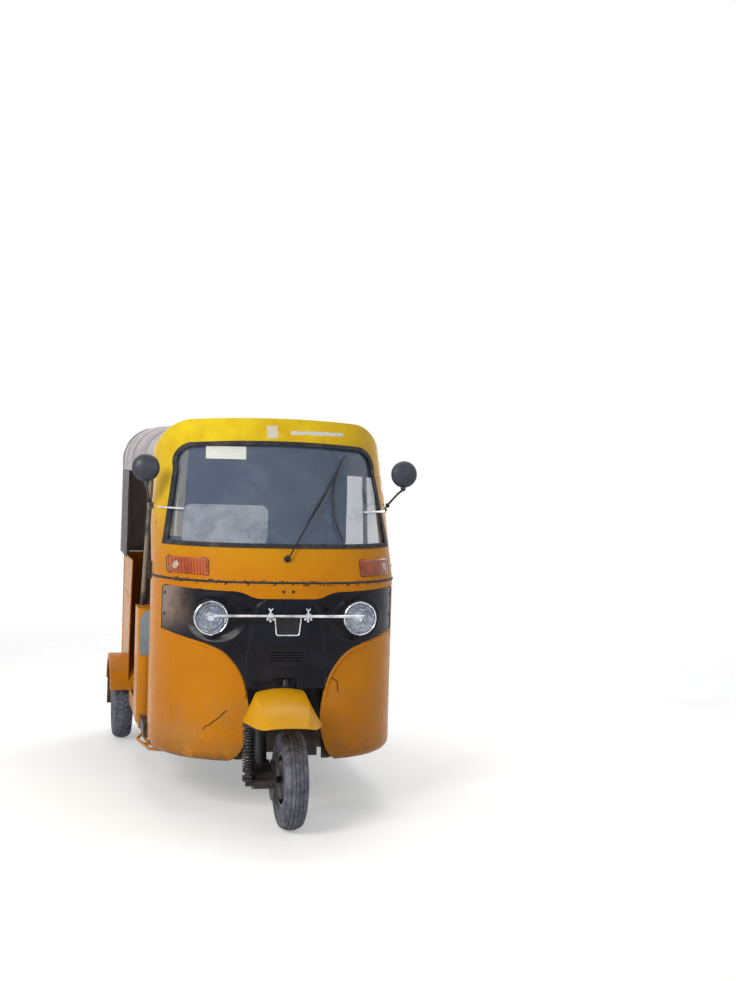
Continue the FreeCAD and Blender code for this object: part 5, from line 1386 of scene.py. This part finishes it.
def bar_details():
    """Split clamps with forked wing nuts on the lamp bar, and rounded ends."""
    build = Build()
    for side in (-1, 1):
        centre = Vector((side * CLAMP_X, back(BAR_BACK), BAR_Z))
        for low, high in ((-0.0095, -0.0060), (0.0060, 0.0095)):
            half_clamp = [(low, 0.0118), (low, 0.0135), (high, 0.0135), (high, 0.0118)]
            build.lathe(half_clamp, centre, (1, 0, 0), 24, closed=True)
        top = centre + Vector((0, 0, 0.024))
        for turn in (-1, 1):
            wing = [top, top + Vector((turn * 0.006, 0, 0.003)), top + Vector((turn * 0.0085, 0, 0.010))]
            build.tube(wing, 0.0026, 8)
            build.bolt(centre + Vector((turn * 0.012, -0.002, -0.012)), (0, -1, 0), 0.0036, 0.004)
        nut = centre + Vector((0, 0, -0.018))
        build.lathe([(0, 0.0075), (0.001, 0.006), (0.006, 0.0048)], nut, (0, 0, -1), 14)
        end = Vector((side * 0.312, back(BAR_BACK), BAR_Z))
        build.lathe([(0, 0.0078), (0.004, 0.0078), (0.0055, 0.006), (0.006, 0.0004)], end, (side, 0, 0), 20)
    build.piece("lamp_bar_clamps", ["bright_metal"], "body")


CHEEK_CRACK = ((0.176, 0.603), (0.204, 0.597), (0.220, 0.586), (0.228, 0.573), (0.227, 0.552), (0.232, 0.534))
DENT_CRACK = ((-0.338, 0.374), (-0.329, 0.390), (-0.314, 0.396), (-0.296, 0.414), (-0.278, 0.427),
              (-0.262, 0.446), (-0.245, 0.460))
STICKER_LOW = (-0.322, 1.518)
STICKER_HIGH = (-0.150, 1.574)


def front_trims():
    """Seam bead, cracks, cheek edging, plugs under the seam, bracket bolts, blank sticker and pillar strip."""
    bead = Build()
    seam = [on_skin(0.5385 * math.sin(math.pi * i / 40 / 2), 1.002, -0.0022) for i in range(-40, 41)]
    bead.tube(seam, 0.0060, 8, flat=0.7)
    for crack in (CHEEK_CRACK, DENT_CRACK):
        bead.tube([on_skin(x, z, 0.0004) for x, z in crack], 0.0021, 6)
    for side in (-1, 1):
        bead.tube([on_skin(side * x, z, 0.0012) for x, z in CHEEK_ARC[2:]], 0.0024, 8)
        bead.tube([on_skin(side * x, z, 0.0012) for x, z in FASCIA_BROW[:9]], 0.0018, 8)
        plug = on_skin(side * 0.021, 0.965, 0.0005)
        normal = skin_normal(side * 0.021, 0.965)
        plug_profile = [(0, 0.0068), (0.0012, 0.0066), (0.0016, 0.0045), (0.0005, 0.0040), (0.0005, 0.0004)]
        bead.lathe(plug_profile, plug, normal, 20)
        low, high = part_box("seam_brackets")
        for z in (0.992, 1.020, 1.043):
            bead.bolt((side * (high[0] - 0.0005), (low[1] + high[1]) / 2, z), (side, 0, 0), 0.0042, 0.0035)
    bead.piece("front_beads", ["seal_rubber"], "body")

    lip = Build()
    edge = CHEEK_ARC + [(0.380, 0.7505), (0.440, 0.765), (0.500, 0.7795)]
    for side in (-1, 1):
        rolled = []
        for i, (x, z) in enumerate(edge):
            (x0, z0), (x1, z1) = edge[max(i - 1, 0)], edge[min(i + 1, len(edge) - 1)]
            shift = 0.0095 / math.hypot(x1 - x0, z1 - z0)
            rolled.append(on_skin(side * (x + shift * (z1 - z0)), z - shift * (x1 - x0), 0.0006))
        lip.tube(rolled, 0.0058, 10)
    lip.piece("cheek_lips", ["body_paint"], "body")

    sticker = Build()
    rows = []
    for j, z in enumerate(steps(STICKER_LOW[1], STICKER_HIGH[1], 6)):
        rows.append([on_skin(x + 0.003 * j / 6, z, -0.0068) for x in steps(STICKER_LOW[0], STICKER_HIGH[0], 16)])
    sticker.grid(rows)
    label = sticker.piece("glass_label", [STICKER], "body", slot="pale_plate")
    thicken(label, 0.0006, outward=Vector((0, -1, 0)))

    trim = Build()
    rows = []
    for z in steps(1.178, 1.565, 14):
        outer = 0.484 - 0.040 * (z - 1.178) / 0.387
        rows.append([on_skin(-(outer - 0.055 * i / 6), z, -0.024 - 0.003 * math.sin(i * 1.9 + z * 9))
                     for i in range(7)])
    trim.grid(rows)
    flap = trim.piece("pillar_trim", [CREAM_TRIM], "body", slot="dark_plastic")
    thicken(flap, 0.002, outward=Vector((0, -1, 0)))


SIDE_PLATE = [(0.490, 0.602), (0.566, 0.602), (0.566, 0.770), (0.546, 0.806), (0.490, 0.812)]


def rockers():
    """Painted sill strips along the floor's edge, with rolled lips and screws, and the pale side plates."""
    for side, name in SIDES:
        build = Build()
        x0, x1 = sorted((side * 0.5565, side * 0.5605))
        build.block((x0, back(0.862), 0.262), (x1, back(1.640), 0.330), 0, 0.0012)
        for z, radius in ((0.2635, 0.0034), (0.3290, 0.0026)):
            build.tube([(side * 0.5595, back(d), z) for d in steps(0.866, 1.636, 12)], radius, 8)
        for i in range(6):
            build.screw((side * 0.5603, back(0.92 + 0.135 * i), 0.296), (side, 0, 0), 0.0050, 1)
        build.piece(f"sill_strip_{name}", ["body_paint", "steel"], "body")

        plate = Build()
        outline = [(side * x, z) for x, z in SIDE_PLATE[::side]]
        made, faces = panel(outline, [], 0.02, lambda x, z: Vector((x, back(0.8588), z)))
        plate.add(made, faces)
        done = plate.piece(f"side_plate_{name}", ["pale_plate"], "body", ["side_plates"] if side < 0 else ())
        thicken(done, 0.0012, outward=Vector((0, -1, 0)))


LAMP_SECTIONS = ((0.746, 0.786, 0), (0.692, 0.744, 1), (0.644, 0.690, 2))
LOUVRE_ROWS = tuple(0.400 + 0.028 * row for row in range(5))
LOUVRE_STARTS = (-0.300, 0.060)
LOUVRE_LENGTH = 0.240
FENDER_HALF = 0.650
ARCH_RADIUS = 0.245
FENDER_FOOT = 0.298


def tail_lamps():
    """Upright lamp in three lenses on a black base, with ribs on each and two screws."""
    seat = back(REAR_FACE_BACK)
    for side, name in SIDES:
        x0, x1 = sorted((side * 0.451, side * 0.529))
        build = Build()
        build.block((x0, seat + 0.0004, 0.641), (x1, seat + 0.006, 0.789), 3, 0.002)
        for low, high, slot in LAMP_SECTIONS:
            build.block((x0 + 0.004, seat + 0.005, low), (x1 - 0.004, seat + 0.019, high), slot, 0.004)
            for x in steps(x0 + 0.012, x1 - 0.012, 8):
                build.tube([(x, seat + 0.0188, low + 0.006), (x, seat + 0.0188, high - 0.006)], 0.0018, 6, slot)
        for z in (0.651, 0.779):
            build.screw(((x0 + x1) / 2, seat + 0.019, z), (0, 1, 0), 0.0035, 3)
        build.piece(f"tail_lamp_{name}", ["amber_lens", "red_lens", CLEAR_LENS, "dark_plastic"], "body",
                    ["tail_lamps"] if side < 0 else (), "red_lens")


def rear_details():
    """Round reflectors, mudflaps, and the beads of the rear body and fenders."""
    seat = back(REAR_FACE_BACK)
    reflector = [(0.0004, 0.030), (0.005, 0.029), (0.007, 0.026), (0.0075, 0.0005)]
    reflector_rim = [(0.0004, 0.032), (0.004, 0.032), (0.004, 0.0295), (0.0004, 0.0295)]
    bead_radius = ARCH_RADIUS - 0.004
    details = Build()
    for side in (-1, 1):
        middle = (side * 0.487, seat, 0.560)
        details.lathe(reflector, middle, (0, 1, 0), 36, 1)
        details.lathe(reflector_rim, middle, (0, 1, 0), 36, 2, closed=True)
        outer = side * REAR_HALF
        top = [(outer + side * 0.001, back(d), QUARTER_TOP_Z - 0.002) for d in steps(1.70, 2.335, 24)]
        details.tube(top, 0.0036, 8)
        details.tube([(outer + side * 0.0004, back(d), 0.780) for d in steps(1.80, 2.30, 20)], 0.0042, 8)
        details.tube([(outer - side * 0.0005, seat - 0.0005, z) for z in steps(0.268, 0.982, 20)], 0.0036, 8)
        arch = []
        for angle in steps(math.radians(-5), math.radians(185), 60):
            z = TYRE_RADIUS + bead_radius * math.sin(angle)
            if z > FENDER_FOOT:
                arch.append((side * (FENDER_HALF - 0.0045), back(WHEELBASE + bead_radius * math.cos(angle)), z))
        details.tube(arch, 0.0042, 8)
        for i in range(7):
            details.screw((outer - side * 0.0002, back(2.31), 0.40 + 0.085 * i), (side, 0, 0), 0.0045, 3)
    for x in (-0.40, -0.20, 0.0, 0.20, 0.40):
        details.bolt((x, seat, 0.905), (0, 1, 0), 0.0045, 0.004, 3)
    details.tube([(x * 0.01, seat + 0.0015, 0.862) for x in range(-54, 55, 4)], 0.0040, 8)
    details.piece("rear_beads", ["body_paint", "red_lens", "dark_plastic", "steel"], "body")

    for side, name in SIDES:
        flap = Build()
        rows = []
        for j in range(13):
            z = 0.306 - 0.165 * j / 12
            curl = 0.016 * (j / 12) ** 2
            rows.append([(side * (0.530 + 0.112 * i / 10), back(2.252 + curl + 0.002 * math.sin(i * 1.1)), z)
                         for i in range(11)])
        flap.grid(rows)
        sheet = flap.piece(f"mudflap_{name}", [MUD_RUBBER], "body", slot="tyre")
        thicken(sheet, 0.004, outward=Vector((0, 1, 0)))


def lid_details():
    """Pressed hoods over the lid's louvres, a rolled edge and two turn latches; they swing with the lid."""
    seat = back(REAR_FACE_BACK)
    build = Build()
    for z in LOUVRE_ROWS:
        for start in LOUVRE_STARTS:
            rows = []
            for i, x in enumerate(steps(start - 0.006, start + LOUVRE_LENGTH + 0.006, 16)):
                rise = 0.011 * min(1.0, 3.2 * math.sin(math.pi * i / 16) ** 0.8) if 0 < i < 16 else 0.0
                rows.append([(x, seat + 0.0006 + rise * math.sin(turn), z + 0.014 - 0.013 * (1 - math.cos(turn)))
                             for turn in steps(0, math.pi / 2, 6)])
            inner = [[(x, y - (0.0012 if y > seat + 0.0018 else 0.0004), w - 0.0006) for x, y, w in row]
                     for row in rows]
            build.shell(rows, inner)
    border = [(x, seat + 0.0012, z) for x, z in rounded_rectangle((-0.388, 0.342), (0.388, 0.592), 0.018)]
    build.tube(border, 0.0032, 8, closed=True)
    for x in (-0.25, 0.25):
        build.lathe([(0.0004, 0.014), (0.003, 0.0135), (0.004, 0.008)], (x, seat, 0.364), (0, 1, 0), 24, 1)
        build.block((x - 0.004, seat + 0.003, 0.352), (x + 0.004, seat + 0.014, 0.376), 1, 0.0015)
    build.piece("lid_pressings", ["body_paint", "steel"], body_of("engine_lid"))


def engine_details():
    """Cooling fins and the fan cover on the engine's rear face, seen when the lid is open."""
    seat = back(2.290)
    build = Build()
    for i in range(9):
        z = 0.392 + 0.0145 * i
        build.block((-0.142, seat - 0.004, z), (0.010, seat + 0.022, z + 0.0035), 0, 0.0010)
    fan_cover = [(0.0004, 0.062), (0.014, 0.062), (0.020, 0.056), (0.021, 0.030), (0.016, 0.028),
                 (0.016, 0.0005)]
    end_cover = [(0.0004, 0.034), (0.012, 0.034), (0.016, 0.030), (0.017, 0.0005)]
    for (x, z), profile, segments, slot, bolts, first, ring, height, size in (
        ((0.078, 0.448), fan_cover, 40, 1, 6, 30, 0.045, 0.0204, 0.0040),
        ((-0.066, 0.322), end_cover, 32, 0, 4, 45, 0.024, 0.0164, 0.0038),
    ):
        build.lathe(profile, (x, seat, z), (0, 1, 0), segments, slot)
        for i in range(bolts):
            a = math.radians(first + 360 / bolts * i)
            place = (x + ring * math.cos(a), seat + height, z + ring * math.sin(a))
            build.bolt(place, (0, 1, 0), size, 0.004, 2)
    build.piece("engine_fins", ["cast_alloy", "dark_plastic", "steel"], body_of("engine"))


def cabin_details():
    """Speed dial with its needle, and four knobs, on the dashboard."""
    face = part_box("dashboard")[1][1]
    dial = (0.0, face, 0.872)
    case = [(-0.006, 0.047), (0.012, 0.047), (0.015, 0.043), (0.011, 0.040), (0.011, 0.0005)]
    knob = [(-0.004, 0.011), (0.004, 0.011), (0.006, 0.008), (0.013, 0.0065), (0.0135, 0.0004)]
    build = Build()
    build.lathe(case, dial, (0, 1, 0), 44)
    build.lathe([(0.0112, 0.0385), (0.0124, 0.0385), (0.0126, 0.0005)], dial, (0, 1, 0), 44, 1)
    build.block((-0.0012, face + 0.0122, 0.872), (0.0012, face + 0.0136, 0.902), 2, 0.0004)
    build.lathe([(0.0120, 0.0042), (0.0145, 0.0036), (0.0150, 0.0004)], dial, (0, 1, 0), 18)
    for x in (-0.16, -0.12, 0.12, 0.16):
        build.lathe(knob, (x, face, 0.868), (0, 1, 0), 20)
    build.piece("dash_dial", ["dark_plastic", "pale_plate", "red_lens"], body_of("dashboard"))


def camera_and_light():
    """The photograph's camera, solved from measured points, and a plain soft studio."""
    camera = bpy.data.objects.new("camera", bpy.data.cameras.new("camera"))
    bpy.context.scene.collection.objects.link(camera)
    bpy.context.scene.camera = camera
    photo_height, focal = 981, 1413
    camera.data.sensor_fit = "VERTICAL"
    camera.data.sensor_height = 24
    camera.data.lens = 24 * focal / photo_height
    yaw, pitch, roll = math.radians(13.02), math.radians(1.11), math.radians(1.61)
    ahead = Vector((math.sin(yaw) * math.cos(pitch), math.cos(yaw) * math.cos(pitch), -math.sin(pitch)))
    level = Vector((math.cos(yaw), -math.sin(yaw), 0))
    above = level.cross(ahead)
    right = math.cos(roll) * level + math.sin(roll) * above
    up = math.cos(roll) * above - math.sin(roll) * level
    turn = Matrix((right, up, -ahead)).transposed().to_4x4()
    camera.matrix_world = Matrix.Translation((-1.025, back(-5.715), 1.517)) @ turn
    camera.data.clip_end = 200

    world = bpy.data.worlds.new("studio")
    bpy.context.scene.world = world
    world.use_nodes = True
    tree = world.node_tree
    tree.nodes.clear()
    out = tree.nodes.new("ShaderNodeOutputWorld")
    paths = tree.nodes.new("ShaderNodeLightPath")
    seen = paths.outputs["Is Camera Ray"]
    for ray in ("Is Transmission Ray", "Is Glossy Ray"):
        either = tree.nodes.new("ShaderNodeMath")
        either.operation = "MAXIMUM"
        tree.links.new(seen, either.inputs[0])
        tree.links.new(paths.outputs[ray], either.inputs[1])
        seen = either.outputs[0]
    mix = tree.nodes.new("ShaderNodeMixShader")
    tree.links.new(seen, mix.inputs[0])
    # Soft light on the object, plain white where the camera, glass or a reflection sees the backdrop
    for socket, colour, strength in ((1, (0.93, 0.96, 1.0, 1), 0.42), (2, (1.0, 1.0, 1.0, 1), 1.0)):
        light = tree.nodes.new("ShaderNodeBackground")
        light.inputs["Color"].default_value = colour
        light.inputs["Strength"].default_value = strength
        tree.links.new(light.outputs[0], mix.inputs[socket])
    tree.links.new(mix.outputs[0], out.inputs[0])

    for name, place, target, size, power, colour in (
        ("key", (-4.1, -4.7, 3.9), (0, 0, 0.8), 2.4, 245, (1.0, 0.97, 0.92)),
        ("fill", (4.5, -3.6, 2.6), (0, 0, 0.8), 3.2, 10, (0.93, 0.96, 1.0)),
        ("top", (0.4, 1.8, 5.0), (0, 0, 0.9), 3.4, 110, (1.0, 0.98, 0.95)),
        ("back", (2.6, 5.2, 3.0), (0, 0, 0.8), 3.0, 90, (0.96, 0.98, 1.0)),
    ):
        lamp = bpy.data.lights.new(name, "AREA")
        lamp.size = size
        lamp.energy = power
        lamp.color = colour
        holder = bpy.data.objects.new(name, lamp)
        bpy.context.scene.collection.objects.link(holder)
        holder.location = place
        holder.rotation_euler = (Vector(target) - Vector(place)).to_track_quat("-Z", "Y").to_euler()

    build = Build()
    build.lathe([(0.0, 30.0), (-0.02, 30.0)], (0, 0, 0), (0, 0, 1), 96)
    s = Shader("studio_floor")
    s.set("Base Color", s.mix(s.range(s.noise(1.5, 4), 0.4, 0.7), srgb(232, 232, 230), srgb(226, 226, 224)))
    s.bsdf.inputs["Roughness"].default_value = 0.9
    s.bsdf.inputs["Specular IOR Level"].default_value = 0.1
    floor_paths = s.tree.nodes.new("ShaderNodeLightPath").outputs
    lift = s.math("MAXIMUM", floor_paths["Is Camera Ray"], floor_paths["Is Glossy Ray"])
    lift = s.math("MAXIMUM", lift, floor_paths["Is Transmission Ray"])
    s.bsdf.inputs["Emission Color"].default_value = (1, 1, 1, 1)
    s.set("Emission Strength", s.times(lift, 0.34))
    clear = s.tree.nodes.new("ShaderNodeBsdfTransparent")
    fade = s.tree.nodes.new("ShaderNodeMixShader")
    x, y = s.axis("X"), s.axis("Y")
    squares = s.math("ADD", s.times(x, x), s.times(y, y))
    s.tree.links.new(s.range(s.math("POWER", squares, 0.5), 2.4, 6.5), fade.inputs[0])
    s.tree.links.new(s.bsdf.outputs[0], fade.inputs[1])
    s.tree.links.new(clear.outputs[0], fade.inputs[2])
    s.tree.links.new(fade.outputs[0], s.out.inputs[0])
    floor = build.piece("studio_floor", [s.material], None)


bpy.context.scene.view_settings.view_transform = "Standard"
camera_and_light()
fascia()
fascia_details()
headlamps()
indicators()
front_spring()
wiper()
mirrors()
emblem()
bar_details()
front_trims()
rockers()
tail_lamps()
rear_details()
lid_details()
engine_details()
cabin_details()
hood()
tyres()
seats()
